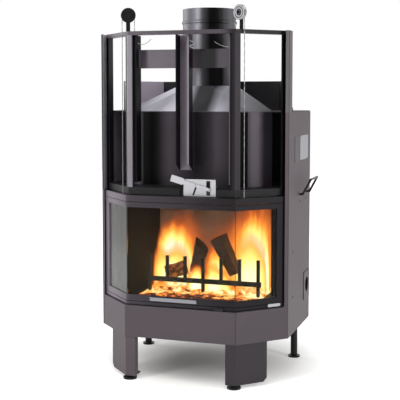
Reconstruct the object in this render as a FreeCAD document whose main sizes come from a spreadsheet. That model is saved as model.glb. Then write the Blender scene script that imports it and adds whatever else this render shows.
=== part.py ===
import FreeCAD, Part
import Sketcher
import os

# Prismatic fireplace insert with a lifting door.
# X runs to the right, Y to the back and Z up, in millimetres.
# The origin is on the floor under the flue's axis.

DIMENSIONS = {
    # outline of the body in plan
    "half_width": 390,
    "front_half": 225,
    "front_depth": 380,
    "facet_angle": 45,
    "rear_depth": 175,
    "sheet": 3,
    # plinth, legs and feet
    "apron_bottom": 172,
    "apron_height": 124,
    "leg_bottom": 15,
    "leg_front": 40,
    "leg_side": 140,
    "leg_return": 33,
    "leg_chamfer": 15,
    "foot_plate_side": 90,
    "foot_plate_depth": 60,
    "foot_in": 12,
    "foot_inset": 22,
    "foot_radius": 27,
    "foot_height": 7,
    "stud_radius": 6,
    "stud_clearance": 0.3,
    "nut_radius": 12,
    "nut_height": 9,
    "rear_leg_margin": 2,
    "rear_leg_gap": 28,
    "rear_leg_radius": 14.5,
    "rear_foot_radius": 25,
    "rear_flange_half": 22,
    # side and rear panels
    "panel_lip": 30,
    "panel_flange": 10,
    "upright_depth": 47,
    "inlet_rear_gap": 63,
    "inlet_rise": 152,
    "inlet_width": 105,
    "inlet_height": 115,
    "inlet_radius": 30,
    "inlet_hole_margin": 4,
    "handle_y": -27,
    "handle_span": 128,
    "handle_rise_from_apron": 544,
    "handle_radius": 4.5,
    "handle_reach": 14,
    "handle_lean": 28,
    "handle_rise": 60,
    "handle_clearance": 0.3,
    # guide frame above the door
    "guide_top": 1358,
    "guide_inset": 22,
    "rail_height": 15,
    "rail_depth": 30,
    "post_margin": 12,
    "post_width": 30,
    "post_depth": 42,
    "post_slot": 14,
    "corner_strip": 22,
    "corner_step_in": 25,
    "corner_step": 15,
    "corner_web_in": 13,
    "corner_web_depth": 65,
    "corner_web_rise": 18,
    "cross_below_rail": 54,
    "cross_height": 72,
    "cross_inset": 84,
    "cross_flange": 20,
    "centre_half": 27,
    "centre_inset": 40,
    "centre_lip": 9,
    "centre_rise": 67,
    "centre_taper": 26,
    # firebox
    "mouth_inset": 36,
    "mouth_thick": 6,
    "mouth_stile": 27,
    "mouth_sill": 26,
    "mouth_lintel": 51,
    "roof_thick": 4,
    "roof_lip": 23,
    "notch_left_gap": 11,
    "notch_right_gap": 6,
    "box_gap": 13,
    "box_taper": 60,
    "box_rear_gap": 38,
    "box_wall": 4,
    "hearth_drop": 4,
    "hearth_wall": 6,
    "hearth_gap": 0.5,
    "grate_half": 130,
    "grate_depth": 160,
    "grate_rear_gap": 20,
    "grate_thick": 10,
    "grate_seat": 15,
    "grate_slot": 10,
    "grate_pitch": 24,
    "grate_slots": 9,
    "lining_thick": 25,
    "lining_inset": 215,
    "baffle_thick": 12,
    "baffle_setback": 125,
    "retainer_end_gap": 48,
    "retainer_setback": 74,
    "retainer_thick": 12,
    "retainer_rise": 46,
    "retainer_bar": 19,
    "prong_height": 155,
    "prong_width": 12,
    "prong_margin": 12,
    "prongs": 7,
    "retainer_legs": 3,
    # smoke box, hood and flue
    "smoke_height": 290,
    "smoke_inset": 146,
    "smoke_side_gap": 79,
    "smoke_facet": 78,
    "smoke_lean": 14,
    "smoke_chamfer": 30,
    "smoke_rear_margin": 8,
    "cover_overlap": 12,
    "hood_height": 101,
    "neck_margin": 2,
    "flue_radius": 110,
    "flue_wall": 2,
    "flue_height": 313,
    "bead_below_top": 55,
    "bead_height": 14,
    "bead_out": 4,
    "shroud_margin": 39,
    "shroud_taper": 88,
    "shroud_depth": 237,
    "shroud_rear_gap": 18,
    "shroud_height": 122,
    # damper control
    "damper_x": 52,
    "damper_rise": 13.8,
    "damper_plate_left": 45,
    "damper_plate_beyond": 26,
    "damper_plate_below": 42.8,
    "damper_plate_above": 22.2,
    "damper_plate_thick": 2,
    "damper_slot_inside": 11.5,
    "damper_slot_outside": 4.5,
    "damper_slot_below": 38.8,
    "damper_slot_above": 17.2,
    "shaft_radius": 5,
    "running_gap": 0.06,
    "lever_thick": 4,
    "lever_gap": 1,
    "lever_half": 6,
    "lever_arm": 58,
    "lever_tail": 98,
    "paddle_length": 48,
    "paddle_half": 13,
    "lever_tilt": 15.3,
    "roller_radius": 5,
    "roller_pin_radius": 3,
    "roller_thick": 3,
    "flap_half": 75,
    "flap_depth": 150,
    "flap_rear_gap": 25,
    "flap_tilt": 20,
    "throat_margin": 5,
    # lifting door
    "door_gap": 4,
    "door_height": 426,
    "carriage_inset": 8,
    "carriage_thick": 12,
    "carriage_margin": 11.35,
    "carriage_stile": 10,
    "band_top": 24,
    "band_low": 12,
    "seam": 2,
    "frame_stile": 25,
    "frame_rail_top": 20,
    "frame_rail_low": 24,
    "glass_lip": 4,
    "glass_thick": 4,
    "glass_rebate": 8,
    "pane_gap": 0.5,
    "pivot_end": 5,
    "pivot_inset": 3.5,
    "pivot_radius": 2,
    "pivot_length": 14,
    "pivot_collar": 3.4,
    "pivot_gap": 0.2,
    "slide_gap": 0.6,
    "shoe_depth": 12,
    "shoe_margin": 45,
    "pull_x": -27,
    "pull_width": 190,
    "pull_lift": 4,
    "pull_height": 16,
    "pull_depth": 12,
    "pull_plate": 2.5,
    "catch_x": 95,
    "catch_radius": 7,
    "catch_thick": 3,
    "catch_stem": 2.5,
    "catch_clear": 0.3,
    # counterweight gear
    "cable_out": 21,
    "cable_inset": 39,
    "cable_radius": 1.5,
    "cable_turn": 24.1,
    "pulley_angle": 27,
    "pulley_rise": 63,
    "pulley_radius": 28.5,
    "pulley_half": 6,
    "groove_half": 2.2,
    "groove_gap": 0.3,
    "axle_radius": 4,
    "axle_head": 7,
    "axle_head_thick": 2,
    "pulley_gap": 0.8,
    "stem_half": 8,
    "stem_thick": 4,
    "stem_over": 12,
    "weight_below_top": 21,
    "weight_length": 160,
    "weight_half_x": 11,
    "weight_half_y": 19,
    # air control
    "knob_in": 67,
    "knob_half": 17,
    "knob_height": 13,
    "knob_front": 0.8,
    "knob_back": 6.8,
    "knob_travel": 30,
    "knob_neck_half": 5,
    "knob_neck": 2.6,
    "slider_half": 26,
    "slider_thick": 6,
    "slider_depth": 12,
    "knob_gap": 0.3,
}

doc = FreeCAD.newDocument("fireplace_insert")
dims = doc.addObject("Spreadsheet::Sheet", "dims")
for row, (alias, value) in enumerate(DIMENSIONS.items(), start=1):
    dims.set(f"A{row}", alias)
    dims.set(f"B{row}", str(value))
    dims.setAlias(f"B{row}", alias)
doc.recompute()

SIDES = (("left", -1), ("right", 1))
ALL_ROUND = 360
HALF_TURN = 180
NEAR = 0.01
HEXAGON = range(0, ALL_ROUND, 60)
sub_parts = []


# Expressions for the faceted front

def corner_x(inset):
    """Half-width of the front facet on a surface set back by an inset."""
    return f"(dims.front_half - ({inset}) * tan(dims.facet_angle / 2))"


def front_y(inset):
    """Depth of the front facet on a surface set back by an inset."""
    return f"(({inset}) - dims.front_depth)"


def facet_y(x, inset):
    """Depth of the right facet at a given X on a surface set back by an inset."""
    return f"({front_y(inset)} + (({x}) - {corner_x(inset)}) * tan(dims.facet_angle))"


def facet_point(along, inset):
    """Point at a distance along the right facet, set back square to it."""
    x = f"(dims.front_half + ({along}) * cos(dims.facet_angle) - ({inset}) * sin(dims.facet_angle))"
    y = f"(({along}) * sin(dims.facet_angle) + ({inset}) * cos(dims.facet_angle) - dims.front_depth)"
    return x, y


def facet_start(inset):
    """Distance along the facet at which a set-back surface turns its corner."""
    return f"(({inset}) * tan(dims.facet_angle / 2))"


def mirrored(point):
    """The same point on the left-hand side."""
    return f"-({point[0]})", point[1]


def both_sides(half):
    """A closed outline from the points of its right half, front to back."""
    return half + [mirrored(point) for point in reversed(half)]


def band(outer_half, inner_half):
    """Outline of a bent band from the right half of its outer and inner lines."""
    outer = [mirrored(point) for point in reversed(outer_half)] + outer_half
    inner = list(reversed(inner_half)) + [mirrored(point) for point in inner_half]
    return outer + inner


def strip_square(outer, inner, along):
    """Three-facet strip between two insets, its ends square to the facets."""
    return band([(corner_x(outer), front_y(outer)), facet_point(along, outer)],
                [(corner_x(inner), front_y(inner)), facet_point(along, inner)])


def strip_cut(outer, inner, side_x):
    """Three-facet strip between two insets, its ends cut off at plus and minus side_x."""
    return band([(corner_x(outer), front_y(outer)), (side_x, facet_y(side_x, outer))],
                [(corner_x(inner), front_y(inner)), (side_x, facet_y(side_x, inner))])


def rectangle(x0, x1, y0, y1):
    """Four corners of an upright rectangle."""
    return [(x0, y0), (x1, y0), (x1, y1), (x0, y1)]


def hexagon(x, y, radius):
    """Six corners round a point."""
    return [(f"({x}) + ({radius}) * cos({angle})", f"({y}) + ({radius}) * sin({angle})")
            for angle in HEXAGON]


def on_side(sign, points):
    """Points of a right-hand outline carried to the side of the given sign."""
    return points if sign > 0 else [mirrored(point) for point in points]


# Building blocks

def new_body(label):
    body = doc.addObject("PartDesign::Body", label)
    body.Label = label
    sub_parts.append(body)
    return body


def place(body, x="0", y="0", z="0"):
    for axis, expression in zip("xyz", (x, y, z)):
        body.setExpression(f"Placement.Base.{axis}", expression)


def turn(body, axis, angle):
    body.Placement.Rotation = FreeCAD.Rotation(FreeCAD.Vector(*axis), 1)
    body.setExpression("Placement.Rotation.Angle", angle)


def new_sketch(body, plane, offset):
    sketch = body.newObject("Sketcher::SketchObject", f"{body.Label}_sketch")
    support = [item for item in body.Origin.OriginFeatures if item.Role == plane][0]
    sketch.AttachmentSupport = [(support, "")]
    sketch.MapMode = "FlatFace"
    sketch.setExpression("AttachmentOffset.Base.z", offset)
    return sketch


def pin_point(sketch, geometry, position, point):
    """Hold a sketch point at a place given by two expressions."""
    for kind, expression in zip(("DistanceX", "DistanceY"), point):
        index = sketch.addConstraint(Sketcher.Constraint(kind, -1, 1, geometry, position, 1.0))
        sketch.setExpression(f"Constraints[{index}]", expression)


def draw_polygon(sketch, points):
    count = len(points)
    start = FreeCAD.Vector(1, 0, 0)
    turn_axis = FreeCAD.Vector(0, 0, 1)
    rough = [FreeCAD.Rotation(turn_axis, ALL_ROUND * i / count).multVec(start) for i in range(count)]
    for i in range(count):
        sketch.addGeometry(Part.LineSegment(rough[i], rough[(i + 1) % count]))
    for i in range(count):
        sketch.addConstraint(Sketcher.Constraint("Coincident", i, 2, (i + 1) % count, 1))
    for i, point in enumerate(points):
        pin_point(sketch, i, 1, point)


def draw_circle(sketch, point, radius):
    centre = FreeCAD.Vector(1, 1, 0)
    index = sketch.addGeometry(Part.Circle(centre, FreeCAD.Vector(0, 0, 1), 1))
    pin_point(sketch, index, 3, point)
    row = sketch.addConstraint(Sketcher.Constraint("Radius", index, 1.0))
    sketch.setExpression(f"Constraints[{row}]", radius)


def outline_sketch(body, plane, outline, offset):
    """Sketch of a polygon (a list of points) or a circle (a point and a radius)."""
    sketch = new_sketch(body, plane, offset)
    if isinstance(outline, tuple):
        draw_circle(sketch, *outline)
    else:
        draw_polygon(sketch, outline)
    return sketch


def pad(body, plane, outline, start, length):
    """Solid between start and start + length along the axis square to the plane."""
    offset = f"-(({start}) + ({length}))" if plane == "XZ_Plane" else start
    feature = body.newObject("PartDesign::Pad", f"{body.Label}_pad")
    feature.Profile = outline_sketch(body, plane, outline, offset)
    feature.setExpression("Length", length)
    return feature


def pocket(body, plane, outline, start, length):
    """Cut between start and start + length along the axis square to the plane."""
    offset = f"-({start})" if plane == "XZ_Plane" else f"({start}) + ({length})"
    feature = body.newObject("PartDesign::Pocket", f"{body.Label}_pocket")
    feature.Profile = outline_sketch(body, plane, outline, offset)
    feature.Type = "Length"
    feature.setExpression("Length", length)
    return feature


def revolve(body, outline, angle=ALL_ROUND, reverse=False, plane="XZ_Plane"):
    """Solid turned about the sketch's upright axis."""
    sketch = outline_sketch(body, plane, outline, "0")
    feature = body.newObject("PartDesign::Revolution", f"{body.Label}_revolution")
    feature.Profile = sketch
    feature.ReferenceAxis = (sketch, ["V_Axis"])
    feature.Angle = angle
    feature.Reversed = reverse
    return feature


def pattern_x(body, feature, length, count):
    """Repeat a feature along X."""
    repeat = body.newObject("PartDesign::LinearPattern", f"{body.Label}_pattern")
    repeat.Originals = [feature]
    repeat.Direction = (feature.Profile[0], ["H_Axis"])
    repeat.setExpression("Length", length)
    repeat.setExpression("Occurrences", count)
    body.Tip = repeat
    return repeat


def hollow(body, wall, directions):
    """Thin-walled version of the body, open on its flat faces that look up or down."""
    doc.recompute()
    base = body.Tip
    ends = {"up": base.Shape.BoundBox.ZMax, "down": base.Shape.BoundBox.ZMin}
    levels = [ends[direction] for direction in directions]
    names = []
    for number, face in enumerate(base.Shape.Faces, start=1):
        box = face.BoundBox
        flat = box.ZLength < NEAR
        if flat and any(abs(box.ZMin - level) < NEAR for level in levels):
            names.append(f"Face{number}")
    feature = body.newObject("PartDesign::Thickness", f"{body.Label}_thickness")
    feature.Base = (base, names)
    feature.setExpression("Value", wall)
    feature.Reversed = True
    feature.Join = "Intersection"
    return feature


SHEET2 = "(2 * dims.sheet)"

# Widths
PANEL_IN = "(dims.half_width - dims.sheet)"
POST_X = "(dims.half_width - dims.post_margin)"
POST_IN = f"({POST_X} - dims.post_width * cos(dims.facet_angle))"
MOUTH_HALF = f"({POST_IN} - dims.mouth_stile)"
BOX_FRONT_X = f"({POST_IN} - dims.box_gap - dims.box_wall)"
BOX_REAR_X = f"({BOX_FRONT_X} - dims.box_taper)"
SMOKE_SIDE_X = f"({PANEL_IN} - dims.smoke_side_gap)"
SMOKE_FRONT_X = f"({SMOKE_SIDE_X} - dims.smoke_facet)"
SHROUD_FRONT_X = "(dims.half_width - dims.shroud_margin)"
SHROUD_REAR_X = f"({SHROUD_FRONT_X} - dims.shroud_taper)"
STEP_X = "(dims.front_half - dims.corner_step_in)"
WEB_X = f"({STEP_X} - dims.corner_web_in)"
CABLE_X = "(dims.front_half + dims.cable_out)"
PULLEY_X = f"({CABLE_X} - dims.cable_turn * cos(dims.pulley_angle))"
WEIGHT_X = f"({CABLE_X} - 2 * dims.cable_turn * cos(dims.pulley_angle))"
KNOB_X = "(dims.front_half - dims.knob_in)"
PLATE_LEFT = "(dims.damper_x - dims.damper_plate_left)"
PLATE_RIGHT = "(dims.damper_x + dims.lever_arm + dims.damper_plate_beyond)"
CARRIAGE_END = "((dims.half_width - dims.front_half) / cos(dims.facet_angle) - dims.carriage_margin)"
FRAME_END = f"({CARRIAGE_END} - dims.carriage_stile - dims.seam)"
WINDOW_END = f"({FRAME_END} - dims.frame_stile)"

# Heights
PAN_BOTTOM = "(dims.apron_bottom + dims.sheet)"
PAN_TOP = "(dims.apron_bottom + 2 * dims.sheet)"
APRON_TOP = "(dims.apron_bottom + dims.apron_height)"
INLET_Z = "(dims.apron_bottom + dims.inlet_rise)"
HANDLE_Z = "(dims.apron_bottom + dims.handle_rise_from_apron)"
HEARTH_TOP = f"({APRON_TOP} - dims.hearth_drop)"
BAR_BOTTOM = f"({HEARTH_TOP} + dims.retainer_rise)"
BAR_TOP = f"({BAR_BOTTOM} + dims.retainer_bar)"
DOOR_BOTTOM = f"({APRON_TOP} + dims.door_gap)"
DOOR_TOP = f"({DOOR_BOTTOM} + dims.door_height)"
FRAME_BOTTOM = f"({DOOR_BOTTOM} + dims.band_low + dims.seam)"
FRAME_TOP = f"({DOOR_TOP} - dims.band_top - dims.seam)"
WINDOW_BOTTOM = f"({FRAME_BOTTOM} + dims.frame_rail_low)"
WINDOW_TOP = f"({FRAME_TOP} - dims.frame_rail_top)"
PULL_BOTTOM = f"({FRAME_BOTTOM} + dims.pull_lift)"
ROOF_BOTTOM = f"({DOOR_TOP} + dims.door_gap + dims.roof_lip)"
ROOF_TOP = f"({ROOF_BOTTOM} + dims.roof_thick)"
LINING_TOP = f"({ROOF_BOTTOM} - dims.mouth_lintel)"
DAMPER_Z = f"({ROOF_TOP} + dims.damper_rise)"
CENTRE_BOTTOM = f"({ROOF_TOP} + dims.centre_rise)"
PANEL_TOP = f"({ROOF_TOP} + dims.smoke_height)"
COVER_TOP = f"({PANEL_TOP} + dims.sheet)"
HOOD_TOP = f"({COVER_TOP} + dims.hood_height)"
RAIL_BOTTOM = "(dims.guide_top - dims.rail_height)"
CROSS_BOTTOM = f"({RAIL_BOTTOM} - dims.cross_below_rail - dims.cross_height)"
WEIGHT_TOP = "(dims.guide_top - dims.weight_below_top)"
PULLEY_Z = "(dims.guide_top + dims.pulley_rise)"

# Depths
MOUTH_BACK = "(dims.mouth_inset + dims.mouth_thick)"
CARRIAGE_BACK = "(dims.carriage_inset + dims.carriage_thick)"
DOOR_FACE = front_y("dims.carriage_inset")
COVER_FRONT = f"({facet_y(POST_X, 'dims.guide_inset')} + dims.post_depth + dims.sheet)"
CROSS_Y = front_y("dims.cross_inset")
CENTRE_FRONT = front_y("dims.centre_inset")
CABLE_Y = front_y("dims.cable_inset")
PULLEY_Y = f"({CABLE_Y} + dims.cable_turn * sin(dims.pulley_angle))"
WEIGHT_Y = f"({CABLE_Y} + 2 * dims.cable_turn * sin(dims.pulley_angle))"
SMOKE_FRONT_Y = front_y("dims.smoke_inset")
SMOKE_SIDE_Y = f"({SMOKE_FRONT_Y} + dims.smoke_facet * tan(dims.facet_angle))"
NECK_RADIUS = "(dims.flue_radius + dims.neck_margin)"
SMOKE_REAR_Y = f"({NECK_RADIUS} + dims.smoke_rear_margin)"
SHROUD_REAR_Y = "(dims.rear_depth - dims.shroud_rear_gap)"
BOX_REAR_Y = "(dims.rear_depth - dims.sheet - dims.box_wall - dims.box_rear_gap)"
LINING_FRONT = front_y("dims.lining_inset")
LINING_REAR = f"({BOX_REAR_Y} - dims.lining_thick)"
GRATE_REAR = f"({LINING_REAR} - dims.grate_rear_gap)"
GRATE_FRONT = f"({GRATE_REAR} - dims.grate_depth)"
BAR_FRONT = f"({LINING_FRONT} + dims.retainer_setback)"
FLAP_REAR = f"({SMOKE_REAR_Y} - dims.flap_rear_gap)"
FLAP_FRONT = f"({FLAP_REAR} - dims.flap_depth)"
INLET_Y = "(dims.rear_depth - dims.inlet_rear_gap)"


# Plinth, legs and feet

def make_apron():
    body = new_body("apron")
    pad(body, "XY_Plane", strip_cut("0", "dims.sheet", PANEL_IN),
        "dims.apron_bottom", "dims.apron_height")
    ledge = (f"{APRON_TOP} - dims.sheet", "dims.sheet")
    pad(body, "XY_Plane", strip_cut("dims.sheet", MOUTH_BACK, PANEL_IN), *ledge)
    reach = "(dims.knob_travel + dims.knob_neck_half + dims.slide_gap)"
    slot = rectangle(f"{KNOB_X} - {reach}", f"{KNOB_X} + {reach}", front_y("dims.sheet"),
                     front_y("dims.sheet + dims.knob_neck + 2 * dims.slide_gap"))
    pocket(body, "XY_Plane", slot, *ledge)


def make_air_knob():
    body = new_body("air_knob")
    above = f"({APRON_TOP} + dims.knob_gap)"
    below = f"({APRON_TOP} - dims.sheet - dims.knob_gap)"
    front = front_y("dims.sheet + dims.slide_gap")
    grip = rectangle("-dims.knob_half", "dims.knob_half",
                     front_y("dims.knob_front"), front_y("dims.knob_back"))
    pad(body, "XY_Plane", grip, above, "dims.knob_height")
    neck = rectangle("-dims.knob_neck_half", "dims.knob_neck_half", front, f"{front} + dims.knob_neck")
    pad(body, "XY_Plane", neck, below, f"{above} - {below}")
    slider = rectangle("-dims.slider_half", "dims.slider_half", front, f"{front} + dims.slider_depth")
    pad(body, "XY_Plane", slider, f"{below} - dims.slider_thick", "dims.slider_thick")
    place(body, KNOB_X)


def make_front_leg(side, sign):
    body = new_body(f"leg_front_{side}")
    edge_x = f"({corner_x('dims.sheet')} - dims.leg_front)"
    inner_x = f"({edge_x} + dims.sheet)"
    outline = [(edge_x, front_y("dims.leg_return")),
               (edge_x, front_y("dims.sheet")),
               (corner_x("dims.sheet"), front_y("dims.sheet")),
               facet_point("dims.leg_side", "dims.sheet"),
               facet_point("dims.leg_side", SHEET2),
               (corner_x(SHEET2), front_y(SHEET2)),
               (inner_x, front_y(SHEET2)),
               (inner_x, front_y("dims.leg_return"))]
    pad(body, "XY_Plane", on_side(sign, outline), "dims.leg_bottom", f"{PAN_BOTTOM} - dims.leg_bottom")
    chamfer_low_corner(body, "dims.leg_chamfer")
    plate = [(edge_x, front_y(SHEET2)),
             (corner_x(SHEET2), front_y(SHEET2)),
             facet_point("dims.foot_plate_side", SHEET2),
             facet_point("dims.foot_plate_side", "dims.foot_plate_depth"),
             (edge_x, front_y("dims.foot_plate_depth"))]
    pad(body, "XY_Plane", on_side(sign, plate), "dims.leg_bottom", "dims.sheet")
    hole = (foot_point(sign), "dims.stud_radius + dims.stud_clearance")
    pocket(body, "XY_Plane", hole, "dims.leg_bottom", "dims.sheet")


def chamfer_low_corner(body, size):
    """Cut off the lowest corner that lies furthest to the side."""
    doc.recompute()
    base = body.Tip
    low = base.Shape.BoundBox.ZMin
    wall = dims.get("sheet")
    best, best_x = None, 0
    for number, edge in enumerate(base.Shape.Edges, start=1):
        level = edge.BoundBox.ZMax - low < NEAR
        if level and abs(edge.Length - wall) < NEAR and abs(edge.CenterOfMass.x) > best_x:
            best, best_x = f"Edge{number}", abs(edge.CenterOfMass.x)
    feature = body.newObject("PartDesign::Chamfer", f"{body.Label}_chamfer")
    feature.Base = (base, [best])
    feature.setExpression("Size", size)


def foot_point(sign):
    return f"{sign} * (dims.front_half - dims.foot_in)", front_y("dims.foot_inset")


def make_front_foot(side, sign):
    """Levelling foot: disc, lower nut, stud through the leg's plate and lock nut."""
    body = new_body(f"foot_front_{side}")
    plate_top = "dims.leg_bottom + dims.sheet"
    nut = hexagon("0", "0", "dims.nut_radius")
    pad(body, "XY_Plane", (("0", "0"), "dims.foot_radius"), "0", "dims.foot_height")
    pad(body, "XY_Plane", nut, "dims.foot_height", "dims.leg_bottom - dims.foot_height")
    pad(body, "XY_Plane", (("0", "0"), "dims.stud_radius"), "dims.leg_bottom", "dims.sheet")
    pad(body, "XY_Plane", nut, plate_top, "dims.nut_height")
    x, y = foot_point(sign)
    place(body, x, y)


def make_rear_leg(side, sign):
    """Round leg on a disc, with a square flange under the base pan."""
    body = new_body(f"leg_rear_{side}")
    flange_bottom = f"({PAN_BOTTOM} - dims.sheet)"
    half = "dims.rear_flange_half"
    pad(body, "XY_Plane", (("0", "0"), "dims.rear_foot_radius"), "0", "dims.foot_height")
    pad(body, "XY_Plane", (("0", "0"), "dims.rear_leg_radius"), "dims.foot_height",
        f"{flange_bottom} - dims.foot_height")
    pad(body, "XY_Plane", rectangle(f"-{half}", half, f"-{half}", half), flange_bottom, "dims.sheet")
    x = f"({PANEL_IN} - dims.panel_lip - {half} - dims.rear_leg_margin)"
    place(body, f"{sign} * {x}", "dims.rear_depth - dims.rear_leg_gap")


def make_base_pan():
    body = new_body("base_pan")
    half = [(corner_x("dims.sheet"), front_y("dims.sheet")),
            (PANEL_IN, facet_y(PANEL_IN, "dims.sheet")),
            (PANEL_IN, "dims.rear_depth - dims.sheet")]
    pad(body, "XY_Plane", both_sides(half), PAN_BOTTOM, "dims.sheet")


# Side and rear panels

def make_side_panel(side, sign):
    """Side sheet with folded edges, whose front edge runs on upwards as an angle beside the guide frame."""
    body = new_body(f"side_panel_{side}")
    lip_x = f"({PANEL_IN} - dims.panel_lip)"
    front, behind_apron = facet_y(PANEL_IN, "0"), facet_y(PANEL_IN, "dims.sheet")
    web = rectangle(PANEL_IN, "dims.half_width", "dims.apron_bottom", PANEL_TOP)
    pad(body, "XZ_Plane", on_side(sign, web), front, f"dims.rear_depth - {front}")
    upright = rectangle(PANEL_IN, "dims.half_width", front, f"{front} + dims.upright_depth")
    pad(body, "XY_Plane", on_side(sign, upright), PANEL_TOP, f"dims.guide_top - {PANEL_TOP}")
    lips = (("dims.apron_bottom", behind_apron), (f"({PANEL_TOP} - dims.sheet)", COVER_FRONT))
    for level, start in lips:
        lip = rectangle(lip_x, PANEL_IN, level, f"{level} + dims.sheet")
        pad(body, "XZ_Plane", on_side(sign, lip), start, f"dims.rear_depth - {start}")
    fold_x = f"({PANEL_IN} - dims.panel_flange)"
    fold = [(PANEL_IN, front), (fold_x, facet_y(fold_x, "0")),
            (fold_x, facet_y(fold_x, "dims.sheet")), (PANEL_IN, behind_apron)]
    pad(body, "XY_Plane", on_side(sign, fold), APRON_TOP, f"dims.guide_top - {APRON_TOP}")
    if sign > 0:
        wall = (PANEL_IN, "dims.sheet")
        inlet = ((INLET_Y, INLET_Z), "dims.inlet_radius + dims.inlet_hole_margin")
        pocket(body, "YZ_Plane", inlet, *wall)
        for y in handle_legs():
            hole = ((y, HANDLE_Z), "dims.handle_radius + dims.handle_clearance")
            pocket(body, "YZ_Plane", hole, *wall)


def handle_legs():
    return "dims.handle_y", "(dims.handle_y + dims.handle_span)"


def make_air_inlet():
    body = new_body("air_inlet")
    low_y = f"{INLET_Y} - dims.inlet_width / 2"
    low_z = f"{INLET_Z} - dims.inlet_height / 2"
    plate = rectangle(low_y, f"{low_y} + dims.inlet_width", low_z, f"{low_z} + dims.inlet_height")
    pad(body, "YZ_Plane", plate, "dims.half_width", "dims.sheet")
    hole = ((INLET_Y, INLET_Z), "dims.inlet_radius")
    pocket(body, "YZ_Plane", hole, "dims.half_width", "dims.sheet")


def make_handle():
    """Round bar bent into the panel's two holes, leaning outwards, joined by a grip."""
    peg_end = "(dims.half_width + dims.handle_reach)"
    grip_x = f"({peg_end} + dims.handle_rise * tan(dims.handle_lean))"
    grip_z = f"({HANDLE_Z} + dims.handle_rise)"
    bars = []
    for y in handle_legs():
        bars.append(round_bar(PANEL_IN, y, HANDLE_Z, (0, 1, 0), "90", "dims.handle_reach + dims.sheet"))
        bars.append(ball(peg_end, y, HANDLE_Z))
        bars.append(round_bar(peg_end, y, HANDLE_Z, (0, 1, 0), "dims.handle_lean",
                              "dims.handle_rise / cos(dims.handle_lean)"))
        bars.append(ball(grip_x, y, grip_z))
    bars.append(round_bar(grip_x, handle_legs()[1], grip_z, (1, 0, 0), "90", "dims.handle_span"))
    handle = doc.addObject("Part::MultiFuse", "handle")
    handle.Shapes = bars
    handle.Label = "handle"
    sub_parts.append(handle)


def round_bar(x, y, z, axis, angle, length):
    bar = doc.addObject("Part::Cylinder", "handle_bar")
    bar.setExpression("Radius", "dims.handle_radius")
    bar.setExpression("Height", length)
    turn(bar, axis, angle)
    place(bar, x, y, z)
    return bar


def ball(x, y, z):
    joint = doc.addObject("Part::Sphere", "handle_bend")
    joint.setExpression("Radius", "dims.handle_radius")
    place(joint, x, y, z)
    return joint


def make_rear_panel():
    body = new_body("rear_panel")
    sheet = rectangle(f"-{PANEL_IN}", PANEL_IN, "dims.rear_depth - dims.sheet", "dims.rear_depth")
    lips = f"-({PANEL_IN} - dims.panel_lip)", f"({PANEL_IN} - dims.panel_lip)"
    pad(body, "XY_Plane", sheet, PAN_BOTTOM, f"{PANEL_TOP} - dims.sheet - {PAN_BOTTOM}")
    pad(body, "XY_Plane", rectangle(*lips, "dims.rear_depth - dims.sheet", "dims.rear_depth"),
        f"{PANEL_TOP} - dims.sheet", "dims.sheet")


CHAMFER_NORMAL = "(45 + dims.smoke_lean / 2)"


def smoke_outline(inset):
    """Right half of the smoke box's outline, drawn in by an inset."""
    side_x, side_y = f"({SMOKE_SIDE_X} - ({inset}))", f"({SMOKE_SIDE_Y} + ({inset}))"
    rear_y = f"({SMOKE_REAR_Y} - ({inset}))"
    waist_y = f"({rear_y} - dims.smoke_chamfer)"
    waist_x = f"({side_x} - ({waist_y} - {side_y}) * tan(dims.smoke_lean))"
    return [(f"{SMOKE_FRONT_X} - ({inset})", f"{SMOKE_FRONT_Y} + ({inset})"), (side_x, side_y),
            (waist_x, waist_y), (f"{waist_x} - dims.smoke_chamfer * tan({CHAMFER_NORMAL})", rear_y)]


def make_body_cover():
    """Top sheet between the panels, with the way out for the smoke."""
    body = new_body("body_cover")
    half = [(SMOKE_FRONT_X, SMOKE_FRONT_Y), (SMOKE_SIDE_X, SMOKE_SIDE_Y),
            (PANEL_IN, COVER_FRONT), (PANEL_IN, "dims.rear_depth")]
    pad(body, "XY_Plane", both_sides(half), PANEL_TOP, "dims.sheet")
    pocket(body, "XY_Plane", both_sides(smoke_outline("dims.cover_overlap")), PANEL_TOP, "dims.sheet")


# Guide frame above the door

def post_point(along, back):
    """Point of the end post: along the facet from its outer corner, then straight back."""
    x = f"({POST_X} - ({along}) * cos(dims.facet_angle))"
    corner_y = facet_y(POST_X, "dims.guide_inset")
    return x, f"({corner_y} - ({along}) * sin(dims.facet_angle) + ({back}))"


POST_WALL = "(dims.sheet / cos(dims.facet_angle))"
SLOT_OUT = "((dims.post_width - dims.post_slot) / 2)"
SLOT_IN = "((dims.post_width + dims.post_slot) / 2)"


def make_end_post(side, sign):
    """Lipped channel, open to the front, that the door's guide shoe runs in."""
    body = new_body(f"end_post_{side}")
    far = f"(dims.post_width - {POST_WALL})"
    deep = f"(dims.post_depth - {POST_WALL})"
    section = [post_point(SLOT_OUT, "0"), post_point("0", "0"), post_point("0", "dims.post_depth"),
               post_point("dims.post_width", "dims.post_depth"), post_point("dims.post_width", "0"),
               post_point(SLOT_IN, "0"), post_point(SLOT_IN, POST_WALL), post_point(far, POST_WALL),
               post_point(far, deep), post_point(POST_WALL, deep), post_point(POST_WALL, POST_WALL),
               post_point(SLOT_OUT, POST_WALL)]
    pad(body, "XY_Plane", on_side(sign, section), APRON_TOP, f"{RAIL_BOTTOM} - {APRON_TOP}")


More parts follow.
